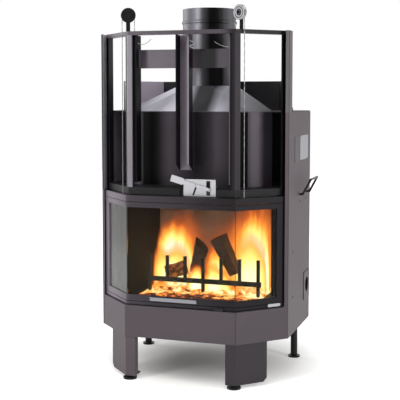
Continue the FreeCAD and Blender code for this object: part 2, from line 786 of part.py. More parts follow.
def make_guide_shoe(side, sign):
    """T-shaped runner on the carriage's back, held by the lips of the end post."""
    body = new_body(f"guide_shoe_{side}")
    start = f"-(dims.guide_inset - {CARRIAGE_BACK}) / cos(dims.facet_angle)"
    neck = (f"{SLOT_OUT} + dims.slide_gap", f"{SLOT_IN} - dims.slide_gap")
    head = (f"{POST_WALL} + dims.slide_gap", f"dims.post_width - {POST_WALL} - dims.slide_gap")
    step = f"({POST_WALL} + dims.slide_gap)"
    deep = f"({step} + dims.shoe_depth)"
    section = [post_point(neck[0], start), post_point(neck[0], step), post_point(head[0], step),
               post_point(head[0], deep), post_point(head[1], deep), post_point(head[1], step),
               post_point(neck[1], step), post_point(neck[1], start)]
    pad(body, "XY_Plane", on_side(sign, section), f"{DOOR_BOTTOM} + dims.shoe_margin",
        "dims.door_height - 2 * dims.shoe_margin")


def make_corner_post(side, sign):
    """Folded strip round the front corner with a stepped web, which hides the counterweight."""
    body = new_body(f"corner_post_{side}")
    outer, inner = "dims.guide_inset", "(dims.guide_inset + dims.sheet)"
    end = f"({facet_start(outer)} + dims.corner_strip)"
    front = front_y(outer)
    step_y = f"({front} + dims.corner_step)"
    back_y = f"({front} + dims.corner_web_depth)"
    step_in, web_in = f"({STEP_X} + dims.sheet)", f"({WEB_X} + dims.sheet)"
    section = [facet_point(end, outer), (corner_x(outer), front), (STEP_X, front), (STEP_X, step_y),
               (WEB_X, step_y), (WEB_X, back_y), (web_in, back_y), (web_in, f"{step_y} + dims.sheet"),
               (step_in, f"{step_y} + dims.sheet"), (step_in, front_y(inner)),
               (corner_x(inner), front_y(inner)), facet_point(end, inner)]
    pad(body, "XY_Plane", on_side(sign, section), ROOF_TOP, f"{RAIL_BOTTOM} - {ROOF_TOP}")
    foot_cut = rectangle(WEB_X, STEP_X, step_y, back_y)
    pocket(body, "XY_Plane", on_side(sign, foot_cut), ROOF_TOP, "dims.corner_web_rise")


def make_top_rail():
    body = new_body("top_rail")
    pad(body, "XY_Plane", strip_cut("dims.guide_inset", "dims.guide_inset + dims.rail_depth", POST_X),
        RAIL_BOTTOM, "dims.rail_height")


def make_cross_plate():
    """Plate that ties the two webs together at the back, with its end flanges turned forwards."""
    body = new_body("cross_plate")
    back, front = f"({CROSS_Y} + dims.sheet)", f"({CROSS_Y} - dims.cross_flange)"
    outer = [(WEB_X, back), (WEB_X, front)]
    inner = [(f"{WEB_X} - dims.sheet", CROSS_Y), (f"{WEB_X} - dims.sheet", front)]
    pad(body, "XY_Plane", band(outer, inner), CROSS_BOTTOM, "dims.cross_height")


def make_centre_post():
    """Channel, open to the front and lipped on the right, that hangs before the cross plate."""
    body = new_body("centre_post")
    height = (CENTRE_BOTTOM, f"{RAIL_BOTTOM} - {CENTRE_BOTTOM}")
    web_front = f"({CROSS_Y} - dims.sheet)"
    outer = [("dims.centre_half", CROSS_Y), ("dims.centre_half", CENTRE_FRONT)]
    inner = [("dims.centre_half - dims.sheet", web_front), ("dims.centre_half - dims.sheet", CENTRE_FRONT)]
    pad(body, "XY_Plane", band(outer, inner), *height)
    lip = rectangle("dims.centre_half - dims.centre_lip", "dims.centre_half - dims.sheet",
                    CENTRE_FRONT, f"{CENTRE_FRONT} + dims.sheet")
    pad(body, "XY_Plane", lip, *height)
    corner = [(CENTRE_FRONT, CENTRE_BOTTOM), (web_front, CENTRE_BOTTOM),
              (CENTRE_FRONT, f"{CENTRE_BOTTOM} + dims.centre_taper")]
    pocket(body, "YZ_Plane", corner, "-dims.centre_half", "2 * dims.centre_half")


# Firebox

def box_wall_x(y, offset):
    """Half-width of the firebox's inner face at a given depth, less an offset."""
    start = facet_y(BOX_FRONT_X, MOUTH_BACK)
    slope = f"dims.box_taper / ({BOX_REAR_Y} - {start})"
    return f"({BOX_FRONT_X} - (({y}) - {start}) * {slope} - ({offset}))"


def make_mouth_frame():
    body = new_body("mouth_frame")
    pad(body, "XY_Plane", strip_cut("dims.mouth_inset", MOUTH_BACK, POST_IN),
        APRON_TOP, f"{ROOF_BOTTOM} - {APRON_TOP}")
    sill = f"({APRON_TOP} + dims.mouth_sill)"
    pocket(body, "XY_Plane",
           strip_cut("dims.mouth_inset - dims.sheet", f"{MOUTH_BACK} + dims.sheet", MOUTH_HALF),
           sill, f"{LINING_TOP} - {sill}")


def make_firebox_shell():
    body = new_body("firebox_shell")
    outer_x = f"({BOX_FRONT_X} + dims.box_wall)"
    outer = [(f"{BOX_REAR_X} + dims.box_wall", f"{BOX_REAR_Y} + dims.box_wall"),
             (outer_x, facet_y(outer_x, MOUTH_BACK))]
    inner = [(BOX_REAR_X, BOX_REAR_Y), (BOX_FRONT_X, facet_y(BOX_FRONT_X, MOUTH_BACK))]
    pad(body, "XY_Plane", band(outer, inner), PAN_TOP, f"{ROOF_BOTTOM} - {PAN_TOP}")


def make_firebox_roof():
    """Plate over the firebox with a folded front lip, a notch and the throat."""
    body = new_body("firebox_roof")
    lip_in = "(dims.guide_inset + dims.sheet)"
    half = [(corner_x("dims.guide_inset"), front_y("dims.guide_inset")),
            (POST_IN, facet_y(POST_IN, "dims.guide_inset")),
            (POST_IN, facet_y(POST_IN, MOUTH_BACK)),
            (f"{BOX_REAR_X} + dims.box_wall", f"{BOX_REAR_Y} + dims.box_wall")]
    lip_bottom = f"({ROOF_BOTTOM} - dims.roof_lip)"
    pad(body, "XY_Plane", both_sides(half), ROOF_BOTTOM, "dims.roof_thick")
    pad(body, "XY_Plane", strip_cut("dims.guide_inset", lip_in, POST_IN), lip_bottom, "dims.roof_lip")
    notch = rectangle(f"{PLATE_LEFT} - dims.notch_left_gap", f"{PLATE_RIGHT} + dims.notch_right_gap",
                      front_y("dims.guide_inset - dims.sheet"), front_y("dims.mouth_inset"))
    pocket(body, "XY_Plane", notch, lip_bottom, "dims.roof_lip + dims.roof_thick")
    throat_half = "(dims.flap_half + dims.throat_margin)"
    throat = rectangle(f"dims.damper_x - {throat_half}", f"dims.damper_x + {throat_half}",
                       f"{FLAP_FRONT} - dims.throat_margin", f"{FLAP_REAR} + dims.throat_margin")
    pocket(body, "XY_Plane", throat, ROOF_BOTTOM, "dims.roof_thick")


def make_hearth():
    """Cast hearth, hollow underneath, with the opening for the grate."""
    body = new_body("hearth")
    rear_y = f"({BOX_REAR_Y} - dims.hearth_gap)"
    side_x = f"({BOX_FRONT_X} - 2 * dims.hearth_gap)"
    half = [(corner_x(MOUTH_BACK), front_y(MOUTH_BACK)),
            (side_x, facet_y(side_x, MOUTH_BACK)),
            (box_wall_x(rear_y, "2 * dims.hearth_gap"), rear_y)]
    pad(body, "XY_Plane", both_sides(half), PAN_TOP, f"{HEARTH_TOP} - {PAN_TOP}")
    hollow(body, "dims.hearth_wall", ["down"])
    opening = rectangle("-(dims.grate_half - dims.grate_seat)", "dims.grate_half - dims.grate_seat",
                        f"{GRATE_FRONT} + dims.grate_seat", f"{GRATE_REAR} - dims.grate_seat")
    pocket(body, "XY_Plane", opening, f"{HEARTH_TOP} - dims.hearth_wall", "dims.hearth_wall")


def make_ash_grate():
    body = new_body("ash_grate")
    plate = rectangle("-dims.grate_half", "dims.grate_half", GRATE_FRONT, GRATE_REAR)
    pad(body, "XY_Plane", plate, HEARTH_TOP, "dims.grate_thick")
    run = "(dims.grate_pitch * (dims.grate_slots - 1))"
    slot = rectangle(f"-{run} / 2 - dims.grate_slot / 2", f"-{run} / 2 + dims.grate_slot / 2",
                     f"{GRATE_FRONT} + 2 * dims.grate_seat", f"{GRATE_REAR} - 2 * dims.grate_seat")
    first = pocket(body, "XY_Plane", slot, HEARTH_TOP, "dims.grate_thick")
    pattern_x(body, first, run, "dims.grate_slots")


def make_side_lining(side, sign):
    body = new_body(f"lining_{side}")
    slab = [(box_wall_x(LINING_FRONT, "0"), LINING_FRONT),
            (box_wall_x(LINING_REAR, "0"), LINING_REAR),
            (box_wall_x(LINING_REAR, "dims.lining_thick"), LINING_REAR),
            (box_wall_x(LINING_FRONT, "dims.lining_thick"), LINING_FRONT)]
    pad(body, "XY_Plane", on_side(sign, slab), HEARTH_TOP, f"{LINING_TOP} - {HEARTH_TOP}")


def make_rear_lining():
    body = new_body("lining_back")
    half = [(box_wall_x(LINING_REAR, "0"), LINING_REAR), (BOX_REAR_X, BOX_REAR_Y)]
    pad(body, "XY_Plane", both_sides(half), HEARTH_TOP, f"{LINING_TOP} - {HEARTH_TOP}")


def make_baffle():
    body = new_body("baffle")
    front = f"({LINING_FRONT} + dims.baffle_setback)"
    half = [(box_wall_x(front, "2 * dims.hearth_gap"), front),
            (f"{BOX_REAR_X} - 2 * dims.hearth_gap", f"{BOX_REAR_Y} - dims.hearth_gap")]
    pad(body, "XY_Plane", both_sides(half), LINING_TOP, "dims.baffle_thick")


def make_log_retainer():
    """Bar with upright prongs on three legs that keeps the logs off the glass."""
    body = new_body("log_retainer")
    half = box_wall_x(BAR_FRONT, "dims.lining_thick + dims.retainer_end_gap")
    depth = (BAR_FRONT, "dims.retainer_thick")
    pad(body, "XZ_Plane", rectangle(f"-{half}", half, BAR_BOTTOM, BAR_TOP), *depth)
    first_x = f"-({half} - dims.prong_margin)"
    rows = (("dims.prongs", BAR_BOTTOM, f"{HEARTH_TOP} + dims.prong_height"),
            ("dims.retainer_legs", HEARTH_TOP, BAR_TOP))
    for count, low, high in rows:
        prong = rectangle(f"{first_x} - dims.prong_width / 2", f"{first_x} + dims.prong_width / 2", low, high)
        first = pad(body, "XZ_Plane", prong, *depth)
        pattern_x(body, first, f"-2 * {first_x}", count)


# Smoke box, hood and flue

def make_smoke_box():
    body = new_body("smoke_box")
    pad(body, "XY_Plane", both_sides(smoke_outline("0")), ROOF_TOP, "dims.smoke_height")
    hollow(body, "dims.sheet", ["up", "down"])
    hole = (("dims.damper_x", DAMPER_Z), "dims.shaft_radius + dims.running_gap")
    pocket(body, "XZ_Plane", hole, SMOKE_FRONT_Y, "dims.sheet")


def slope_cut(body, normal, reach):
    """Cut a side of the hood that faces an angle in plan, from a reach at its bottom in to the neck."""
    beyond = f"({reach} + dims.hood_height)"
    wedge = [(reach, COVER_TOP), (beyond, COVER_TOP), (beyond, HOOD_TOP), (NECK_RADIUS, HOOD_TOP)]
    sketch = outline_sketch(body, "XZ_Plane", wedge, "0")
    upright = FreeCAD.Rotation(FreeCAD.Vector(0, 1, 0), 1)
    sketch.AttachmentOffset = FreeCAD.Placement(FreeCAD.Vector(), upright)
    sketch.setExpression("AttachmentOffset.Rotation.Angle", normal)
    feature = body.newObject("PartDesign::Pocket", f"{body.Label}_slope")
    feature.Profile = sketch
    feature.Type = "ThroughAll"
    feature.Midplane = True


def make_hood():
    """Sheet transition from the smoke box's outline to the flue, with a slope on each of its sides."""
    body = new_body("hood")
    corners = smoke_outline("0")
    pad(body, "XY_Plane", both_sides(corners), COVER_TOP, "dims.hood_height")
    normals = ("-90", "(dims.facet_angle - 90)", "dims.smoke_lean", CHAMFER_NORMAL, "90")
    for normal, (x, y) in zip(normals, corners + corners[-1:]):
        reach = f"(({x}) * cos({normal}) + ({y}) * sin({normal}))"
        slope_cut(body, normal, reach)
        if normal not in ("-90", "90"):
            slope_cut(body, f"180 - {normal}", reach)
    hollow(body, "dims.sheet", ["up", "down"])


def make_flue():
    body = new_body("flue")
    inner = "(dims.flue_radius - dims.flue_wall)"
    proud = "(dims.flue_radius + dims.bead_out)"
    top = f"({HOOD_TOP} + dims.flue_height)"
    bead = f"({top} - dims.bead_below_top)"
    profile = [(inner, HOOD_TOP), ("dims.flue_radius", HOOD_TOP),
               ("dims.flue_radius", f"{bead} - dims.bead_height / 2"),
               (proud, f"{bead} - dims.bead_height / 4"), (proud, f"{bead} + dims.bead_height / 4"),
               ("dims.flue_radius", f"{bead} + dims.bead_height / 2"),
               ("dims.flue_radius", top), (inner, top)]
    revolve(body, profile)


def make_rear_shroud():
    """Splayed heat shield that stands behind the hood."""
    body = new_body("rear_shroud")
    front = f"{SHROUD_REAR_Y} - dims.shroud_depth"
    outer = [(SHROUD_REAR_X, SHROUD_REAR_Y), (SHROUD_FRONT_X, front)]
    inner = [(f"{SHROUD_REAR_X} - dims.sheet", f"{SHROUD_REAR_Y} - dims.sheet"),
             (f"{SHROUD_FRONT_X} - dims.sheet", front)]
    pad(body, "XY_Plane", band(outer, inner), COVER_TOP, "dims.shroud_height")


# Damper control

PLATE_FRONT = front_y("dims.mouth_inset - dims.damper_plate_thick")
LEVER_BACK = f"({PLATE_FRONT} - dims.lever_gap)"
LEVER_FRONT = f"({LEVER_BACK} - dims.lever_thick)"


def make_damper_plate():
    body = new_body("damper_plate")
    wall = (PLATE_FRONT, "dims.damper_plate_thick")
    plate = rectangle(PLATE_LEFT, PLATE_RIGHT,
                      f"{DAMPER_Z} - dims.damper_plate_below", f"{DAMPER_Z} + dims.damper_plate_above")
    pad(body, "XZ_Plane", plate, *wall)
    roller_x = "(dims.damper_x + dims.lever_arm)"
    slot = rectangle(f"{roller_x} - dims.damper_slot_inside", f"{roller_x} + dims.damper_slot_outside",
                     f"{DAMPER_Z} - dims.damper_slot_below", f"{DAMPER_Z} + dims.damper_slot_above")
    pocket(body, "XZ_Plane", slot, *wall)
    hole = (("dims.damper_x", DAMPER_Z), "dims.shaft_radius + dims.running_gap")
    pocket(body, "XZ_Plane", hole, *wall)


def make_damper_lever():
    body = new_body("damper_lever")
    neck = "(dims.lever_tail - dims.paddle_length)"
    tip = "dims.lever_arm + dims.roller_radius + dims.roller_pin_radius"
    upper = [(tip, "dims.lever_half"), (f"-({neck} - 2 * dims.lever_half)", "dims.lever_half"),
             (f"-{neck}", "dims.paddle_half"), ("-dims.lever_tail", "dims.paddle_half")]
    lower = [(x, f"-{z}") for x, z in reversed(upper)]
    pad(body, "XZ_Plane", upper + lower, LEVER_FRONT, "dims.lever_thick")
    roller = ("dims.lever_arm", "0")
    pad(body, "XZ_Plane", (roller, "dims.roller_radius"),
        f"{LEVER_FRONT} - dims.roller_thick", "dims.roller_thick")
    pad(body, "XZ_Plane", (roller, "dims.roller_pin_radius"), LEVER_BACK,
        "dims.lever_gap + dims.damper_plate_thick - dims.running_gap")
    hole = (("0", "0"), "dims.shaft_radius + dims.running_gap")
    pocket(body, "XZ_Plane", hole, LEVER_FRONT, "dims.lever_thick")
    turn(body, (0, 1, 0), "dims.lever_tilt")
    place(body, "dims.damper_x", "0", DAMPER_Z)


def make_damper_flap():
    """Shaft from the lever to the flap that it turns in the throat."""
    body = new_body("damper_flap")
    shaft_front = f"({LEVER_FRONT} - dims.roller_thick)"
    pad(body, "XZ_Plane", (("0", "0"), "dims.shaft_radius"), shaft_front, f"{FLAP_REAR} - {shaft_front}")
    flap = rectangle("-dims.flap_half", "dims.flap_half", "-dims.sheet / 2", "dims.sheet / 2")
    pad(body, "XZ_Plane", flap, FLAP_FRONT, "dims.flap_depth")
    turn(body, (0, 1, 0), "dims.flap_tilt")
    place(body, "dims.damper_x", "0", DAMPER_Z)


# Lifting door

def pivot_point():
    return mirrored(facet_point(f"{FRAME_END} - dims.pivot_end", "dims.carriage_inset + dims.pivot_inset"))


def make_door_carriage():
    """Outer door frame that slides, with two pivots for the glazed frame."""
    body = new_body("door_carriage")
    pad(body, "XY_Plane", strip_square("dims.carriage_inset", CARRIAGE_BACK, CARRIAGE_END),
        DOOR_BOTTOM, "dims.door_height")
    low = f"({DOOR_BOTTOM} + dims.band_low)"
    high = f"({DOOR_TOP} - dims.band_top)"
    pocket(body, "XY_Plane",
           strip_square("dims.carriage_inset - dims.sheet", f"{CARRIAGE_BACK} + dims.sheet",
                        f"{CARRIAGE_END} - dims.carriage_stile"),
           low, f"{high} - {low}")
    pivot = (pivot_point(), "dims.pivot_radius")
    pad(body, "XY_Plane", (pivot_point(), "dims.pivot_collar"), low, "dims.seam - dims.pivot_gap")
    pad(body, "XY_Plane", pivot, low, "dims.pivot_length")
    pad(body, "XY_Plane", pivot, f"{high} - dims.pivot_length", "dims.pivot_length")


def make_glazed_frame():
    """Inner door frame that swings on the carriage, rebated for the panes."""
    body = new_body("glazed_frame")
    front, back = "dims.carriage_inset", CARRIAGE_BACK
    pad(body, "XY_Plane", strip_square(front, back, FRAME_END), FRAME_BOTTOM, f"{FRAME_TOP} - {FRAME_BOTTOM}")
    pocket(body, "XY_Plane", strip_square(f"{front} - dims.sheet", f"{back} + dims.sheet", WINDOW_END),
           WINDOW_BOTTOM, f"{WINDOW_TOP} - {WINDOW_BOTTOM}")
    rebate = strip_square(f"{front} + dims.glass_lip", f"{back} + dims.sheet",
                          f"{WINDOW_END} + dims.glass_rebate")
    pocket(body, "XY_Plane", rebate,
           f"{WINDOW_BOTTOM} - dims.glass_rebate",
           f"{WINDOW_TOP} - {WINDOW_BOTTOM} + 2 * dims.glass_rebate")
    bore = (pivot_point(), "dims.pivot_radius + dims.running_gap")
    pocket(body, "XY_Plane", bore, FRAME_BOTTOM, "dims.pivot_length")
    pocket(body, "XY_Plane", bore, f"{FRAME_TOP} - dims.pivot_length", "dims.pivot_length")


PANE_FRONT = "(dims.carriage_inset + dims.glass_lip)"
PANE_BACK = f"({PANE_FRONT} + dims.glass_thick)"


def pane_height():
    low = f"({WINDOW_BOTTOM} - dims.glass_rebate + dims.pane_gap)"
    return low, f"{WINDOW_TOP} + dims.glass_rebate - dims.pane_gap - {low}"


def make_front_pane():
    body = new_body("glass_front")
    half = [(f"{corner_x(PANE_FRONT)} - dims.pane_gap", front_y(PANE_FRONT)),
            (f"{corner_x(PANE_BACK)} - dims.pane_gap", front_y(PANE_BACK))]
    pad(body, "XY_Plane", both_sides(half), *pane_height())


def make_side_pane(side, sign):
    body = new_body(f"glass_{side}")
    end = f"({WINDOW_END} + dims.glass_rebate - dims.pane_gap)"
    pane = [facet_point(f"{facet_start(PANE_FRONT)} + dims.pane_gap", PANE_FRONT),
            facet_point(end, PANE_FRONT),
            facet_point(end, PANE_BACK), facet_point(f"{facet_start(PANE_BACK)} + dims.pane_gap", PANE_BACK)]
    pad(body, "XY_Plane", on_side(sign, pane), *pane_height())


def make_door_pull():
    """Bright angle strip along the bottom rail, by which the door is lifted."""
    body = new_body("door_pull")
    plate = f"({DOOR_FACE} - dims.pull_plate)"
    lip = f"({DOOR_FACE} - dims.pull_depth)"
    top = f"({PULL_BOTTOM} + dims.pull_height)"
    section = [(DOOR_FACE, PULL_BOTTOM), (plate, PULL_BOTTOM), (plate, f"{top} - dims.pull_plate"),
               (lip, f"{top} - dims.pull_plate"), (lip, top), (DOOR_FACE, top)]
    pad(body, "YZ_Plane", section, "dims.pull_x - dims.pull_width / 2", "dims.pull_width")


def make_door_catch():
    """Button on the glazed frame that laps over the seam."""
    body = new_body("door_catch")
    seam_z = f"({FRAME_TOP} + dims.seam / 2)"
    stem_z = f"({FRAME_TOP} - dims.catch_stem - dims.seam)"
    back = f"({DOOR_FACE} - dims.catch_clear)"
    pad(body, "XZ_Plane", (("dims.catch_x", seam_z), "dims.catch_radius"),
        f"{back} - dims.catch_thick", "dims.catch_thick")
    pad(body, "XZ_Plane", (("dims.catch_x", stem_z), "dims.catch_stem"), back, "dims.catch_clear")


# Counterweight gear

def place_pulley(body, sign, z):
    turn(body, (0, 0, 1), f"-{sign} * dims.pulley_angle")
    place(body, f"{sign} * {PULLEY_X}", PULLEY_Y, z)


def make_pulley(side, sign):
    """Wheel with a groove for the cable."""
    body = new_body(f"pulley_{side}")
    floor = "(dims.cable_turn - dims.cable_radius - dims.groove_gap)"
    bore = "(dims.axle_radius + dims.running_gap)"
    profile = [(bore, "-dims.pulley_half"), ("dims.pulley_radius", "-dims.pulley_half"),
               (floor, "-dims.groove_half"), (floor, "dims.groove_half"),
               ("dims.pulley_radius", "dims.pulley_half"), (bore, "dims.pulley_half")]
    revolve(body, profile, plane="XY_Plane")
    place_pulley(body, sign, PULLEY_Z)


def make_pulley_bracket(side, sign):
    """Stem on the top rail with the pulley's axle."""
    body = new_body(f"pulley_bracket_{side}")
    near = "(dims.pulley_half + dims.pulley_gap)"
    stem = rectangle("-dims.stem_half", "dims.stem_half", near, f"{near} + dims.stem_thick")
    pad(body, "XY_Plane", stem, "dims.guide_top", "dims.pulley_rise + dims.stem_over")
    axle = (("0", PULLEY_Z), "dims.axle_radius")
    pad(body, "XZ_Plane", axle, f"-{near}", f"2 * {near}")
    head = (("0", PULLEY_Z), "dims.axle_head")
    pad(body, "XZ_Plane", head, f"-({near} + dims.axle_head_thick)", "dims.axle_head_thick")
    place_pulley(body, sign, "0")


def make_cable_wrap(side, sign):
    """Half turn over the pulley of the cable, which six strands make six-sided."""
    body = new_body(f"cable_wrap_{side}")
    revolve(body, hexagon("dims.cable_turn", "0", "dims.cable_radius"), HALF_TURN, True, "XY_Plane")
    place_pulley(body, sign, PULLEY_Z)


def make_cable_run(label, sign, x, y, low):
    """Upright stretch of cable that ends where it meets the pulley."""
    body = new_body(label)
    pad(body, "XY_Plane", hexagon("0", "0", "dims.cable_radius"), low, f"{PULLEY_Z} - {low}")
    place(body, f"{sign} * {x}", y)


def make_counterweight(side, sign):
    body = new_body(f"counterweight_{side}")
    bar = rectangle(f"{WEIGHT_X} - dims.weight_half_x", f"{WEIGHT_X} + dims.weight_half_x",
                    f"{WEIGHT_Y} - dims.weight_half_y", f"{WEIGHT_Y} + dims.weight_half_y")
    pad(body, "XY_Plane", on_side(sign, bar), f"{WEIGHT_TOP} - dims.weight_length", "dims.weight_length")


make_apron()
make_base_pan()
make_rear_panel()
make_body_cover()
make_air_inlet()
make_handle()
make_top_rail()
make_cross_plate()
make_centre_post()
make_mouth_frame()
make_firebox_shell()
make_firebox_roof()
make_hearth()
make_ash_grate()
make_rear_lining()
make_baffle()
make_log_retainer()
make_smoke_box()
make_hood()
make_flue()
make_rear_shroud()
make_damper_plate()
make_damper_lever()
make_damper_flap()
make_air_knob()
make_door_carriage()
make_glazed_frame()
make_front_pane()
make_door_pull()
make_door_catch()
for side, sign in SIDES:
    make_front_leg(side, sign)
    make_front_foot(side, sign)
    make_rear_leg(side, sign)
    make_side_panel(side, sign)
    make_end_post(side, sign)
    make_corner_post(side, sign)
    make_side_lining(side, sign)
    make_guide_shoe(side, sign)
    make_side_pane(side, sign)
    make_pulley(side, sign)
    make_pulley_bracket(side, sign)
    make_cable_wrap(side, sign)
    make_counterweight(side, sign)
    make_cable_run(f"cable_door_{side}", sign, CABLE_X, CABLE_Y, DOOR_TOP)
    make_cable_run(f"cable_weight_{side}", sign, WEIGHT_X, WEIGHT_Y, WEIGHT_TOP)
doc.recompute()

# Check everything before a file is written
for item in doc.Objects:
    faults = [state for state in item.State if state in ("Invalid", "Error")]
    if faults:
        raise RuntimeError(f"{item.Label}: {faults}")
for item in sub_parts:
    shape = item.Shape
    if shape.isNull() or not shape.isValid() or len(shape.Solids) != 1:
        raise RuntimeError(f"{item.Label} is not one valid solid")

os.makedirs("parts", exist_ok=True)
for item in sub_parts:
    item.Shape.exportStep(f"parts/{item.Label}.step")
    print(item.Label, round(item.Shape.Volume / 1000, 1), "cm3")
print(len(sub_parts), "sub-parts")
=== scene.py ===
# %% [markdown]
# # A fireplace insert with a lifting door
# The solids of the insert come in as a fixed frame: a steel body on legs, a guide frame above it, and a
# glazed door that hangs on two cables. This lesson gives each solid the finish of the real piece, and
# adds what is too fine or too soft to be a solid, such as the lay of the cables, the bed of embers and
# the flames.

# %% Load the solids
import math

import bpy
import numpy as np
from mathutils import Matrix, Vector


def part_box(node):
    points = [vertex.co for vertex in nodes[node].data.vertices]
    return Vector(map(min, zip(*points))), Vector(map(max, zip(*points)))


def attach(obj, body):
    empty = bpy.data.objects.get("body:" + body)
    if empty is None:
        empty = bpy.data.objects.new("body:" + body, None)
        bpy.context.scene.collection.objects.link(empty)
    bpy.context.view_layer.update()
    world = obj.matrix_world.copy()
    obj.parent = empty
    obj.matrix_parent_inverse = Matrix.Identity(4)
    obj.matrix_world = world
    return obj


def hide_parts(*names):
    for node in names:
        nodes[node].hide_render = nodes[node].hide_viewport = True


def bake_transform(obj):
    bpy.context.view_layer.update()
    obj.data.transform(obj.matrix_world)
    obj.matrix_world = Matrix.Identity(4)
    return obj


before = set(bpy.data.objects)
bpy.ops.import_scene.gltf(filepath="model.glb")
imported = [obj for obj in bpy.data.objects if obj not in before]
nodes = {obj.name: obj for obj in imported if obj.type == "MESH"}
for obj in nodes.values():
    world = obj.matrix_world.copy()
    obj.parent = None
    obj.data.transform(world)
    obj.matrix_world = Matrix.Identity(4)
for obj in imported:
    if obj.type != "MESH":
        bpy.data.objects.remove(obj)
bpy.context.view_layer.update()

# %% [markdown]
# ## The camera
# The insert was photographed from a little to its right, from about the height of its smoke box, with a
# long lens, which keeps the uprights almost parallel. A camera that only tilts would make them lean, so
# the lens shift takes up part of the tilt, as on a view camera.

# %% Camera
EYE = (1.1891, -3.7137, 1.1098)
TURN = 18.33
DIP = 4.154
FOCAL_PIXELS = 936.3
IMAGE_PIXELS = 400
SENSOR_WIDTH = 36
SHIFT = -0.09

scene = bpy.context.scene
camera_data = bpy.data.cameras.new("camera")
camera_data.sensor_width = SENSOR_WIDTH
camera_data.lens = FOCAL_PIXELS / IMAGE_PIXELS * SENSOR_WIDTH
camera_data.shift_y = SHIFT
camera = bpy.data.objects.new("camera", camera_data)
camera.location = EYE
camera.rotation_euler = (math.radians(90 - DIP), 0, math.radians(TURN))
scene.collection.objects.link(camera)
bpy.context.scene.camera = camera
print("lens", round(camera_data.lens, 1), "mm")

# %% [markdown]
# ## Node trees
# World, floor and finishes are all trees of nodes. They could be joined by hand in the shader editor, but
# in a script a few helpers keep them readable.

# %% Tree helpers
def feed(tree, target, value):
    """Another socket is linked to the target, and anything else becomes its value."""
    if isinstance(value, bpy.types.NodeSocket):
        tree.links.new(value, target)
    else:
        target.default_value = value


def node(tree, kind, links=None, **settings):
    """A node of the given kind, with its settings made and its inputs fed."""
    made = tree.nodes.new(kind)
    for key, value in settings.items():
        setattr(made, key, value)
    for key, value in (links or {}).items():
        feed(tree, made.inputs[key], value)
    return made


def calc(tree, operation, *values):
    """One step of arithmetic on sockets and numbers."""
    return node(tree, "ShaderNodeMath", dict(enumerate(values)), operation=operation).outputs[0]


def vector_calc(tree, operation, *values, output="Vector"):
    """One step of vector arithmetic, which gives out a vector or a value."""
    return node(tree, "ShaderNodeVectorMath", dict(enumerate(values)), operation=operation).outputs[output]


def noise(tree, place, scale, detail, distortion=0.0):
    """Soft noise between 0 and 1."""
    links = {"Vector": place, "Scale": scale, "Detail": detail, "Distortion": distortion}
    return node(tree, "ShaderNodeTexNoise", links).outputs["Fac"]


def axes_of(tree, place):
    """The X, Y and Z of a place, as sockets."""
    return node(tree, "ShaderNodeSeparateXYZ", {0: place}).outputs


print("tree helpers ready")

# %% Range and colour helpers
MIX_FACTOR, MIX_FIRST, MIX_SECOND, MIX_RESULT = 0, 6, 7, 2


def remap(tree, value, low, high, to_low=0.0, to_high=1.0):
    """A value carried smoothly from one range to another."""
    links = {"Value": value, "From Min": low, "From Max": high, "To Min": to_low, "To Max": to_high}
    return node(tree, "ShaderNodeMapRange", links, interpolation_type="SMOOTHSTEP").outputs["Result"]


def blend_colour(tree, factor, first, second, mode="MIX"):
    """Two colours mixed by a factor."""
    made = node(tree, "ShaderNodeMix", data_type="RGBA", blend_type=mode)
    for index, value in ((MIX_FACTOR, factor), (MIX_FIRST, first), (MIX_SECOND, second)):
        feed(tree, made.inputs[index], value)
    return made.outputs[MIX_RESULT]


def colour_ramp(tree, value, stops):
    """Colour ramp with a stop for each pair of a position and a colour."""
    ramp = node(tree, "ShaderNodeValToRGB", {"Fac": value})
    band = ramp.color_ramp
    band.elements.remove(band.elements[1])
    band.elements[0].position, band.elements[0].color = stops[0]
    for position, colour in stops[1:]:
        band.elements.new(position).color = colour
    return ramp.outputs["Color"]


print("range and colour helpers ready")

# %% [markdown]
# ## Floor and light
# A studio floor runs up to nothing, so one large plane is enough. Large soft lamps stand at the front
# left, on both sides and above. Two are tall strips, which draw upright highlights on bent sheet. The
# world is a white backdrop where it is seen directly, and metal and glass mirror it, darker behind the
# camera. As a source of light it is dim. A bright world would light everything alike and leave the bends
# of the sheet flat.

# %% World
BACKDROP_EDGE = (-0.5, 0.1)
BACKDROP_TOP = (0.9, 0.5)
DARK_SIDE = 0.2
ROOM_COLOUR = (0.93, 0.95, 1, 1)
ROOM_STRENGTH = 0.35
WHITE = (1, 1, 1, 1)

scene.view_settings.view_transform = "Standard"
world = bpy.data.worlds.new("studio")
scene.world = world
world.use_nodes = True
tree = world.node_tree
tree.nodes.clear()
bearing = axes_of(tree, node(tree, "ShaderNodeTexCoord").outputs["Generated"])
behind = remap(tree, bearing["Y"], *BACKDROP_EDGE)
below_lamps = remap(tree, bearing["Z"], *BACKDROP_TOP)
backdrop = calc(tree, "MULTIPLY", behind, below_lamps)
mirrored_white = remap(tree, backdrop, 0.0, 1.0, DARK_SIDE, 1.0)
ray = node(tree, "ShaderNodeLightPath").outputs
direct = calc(tree, "MAXIMUM", ray["Is Camera Ray"], ray["Is Transmission Ray"])
seen = calc(tree, "MAXIMUM", direct, ray["Is Glossy Ray"])
white = remap(tree, direct, 0.0, 1.0, mirrored_white, 1.0)
dim = node(tree, "ShaderNodeBackground", {"Color": ROOM_COLOUR, "Strength": ROOM_STRENGTH})
bright = node(tree, "ShaderNodeBackground", {"Color": WHITE, "Strength": white})
mix = node(tree, "ShaderNodeMixShader", {0: seen, 1: dim.outputs[0], 2: bright.outputs[0]})
node(tree, "ShaderNodeOutputWorld", {"Surface": mix.outputs[0]})
print("world", world.name, "with", len(tree.nodes), "nodes")

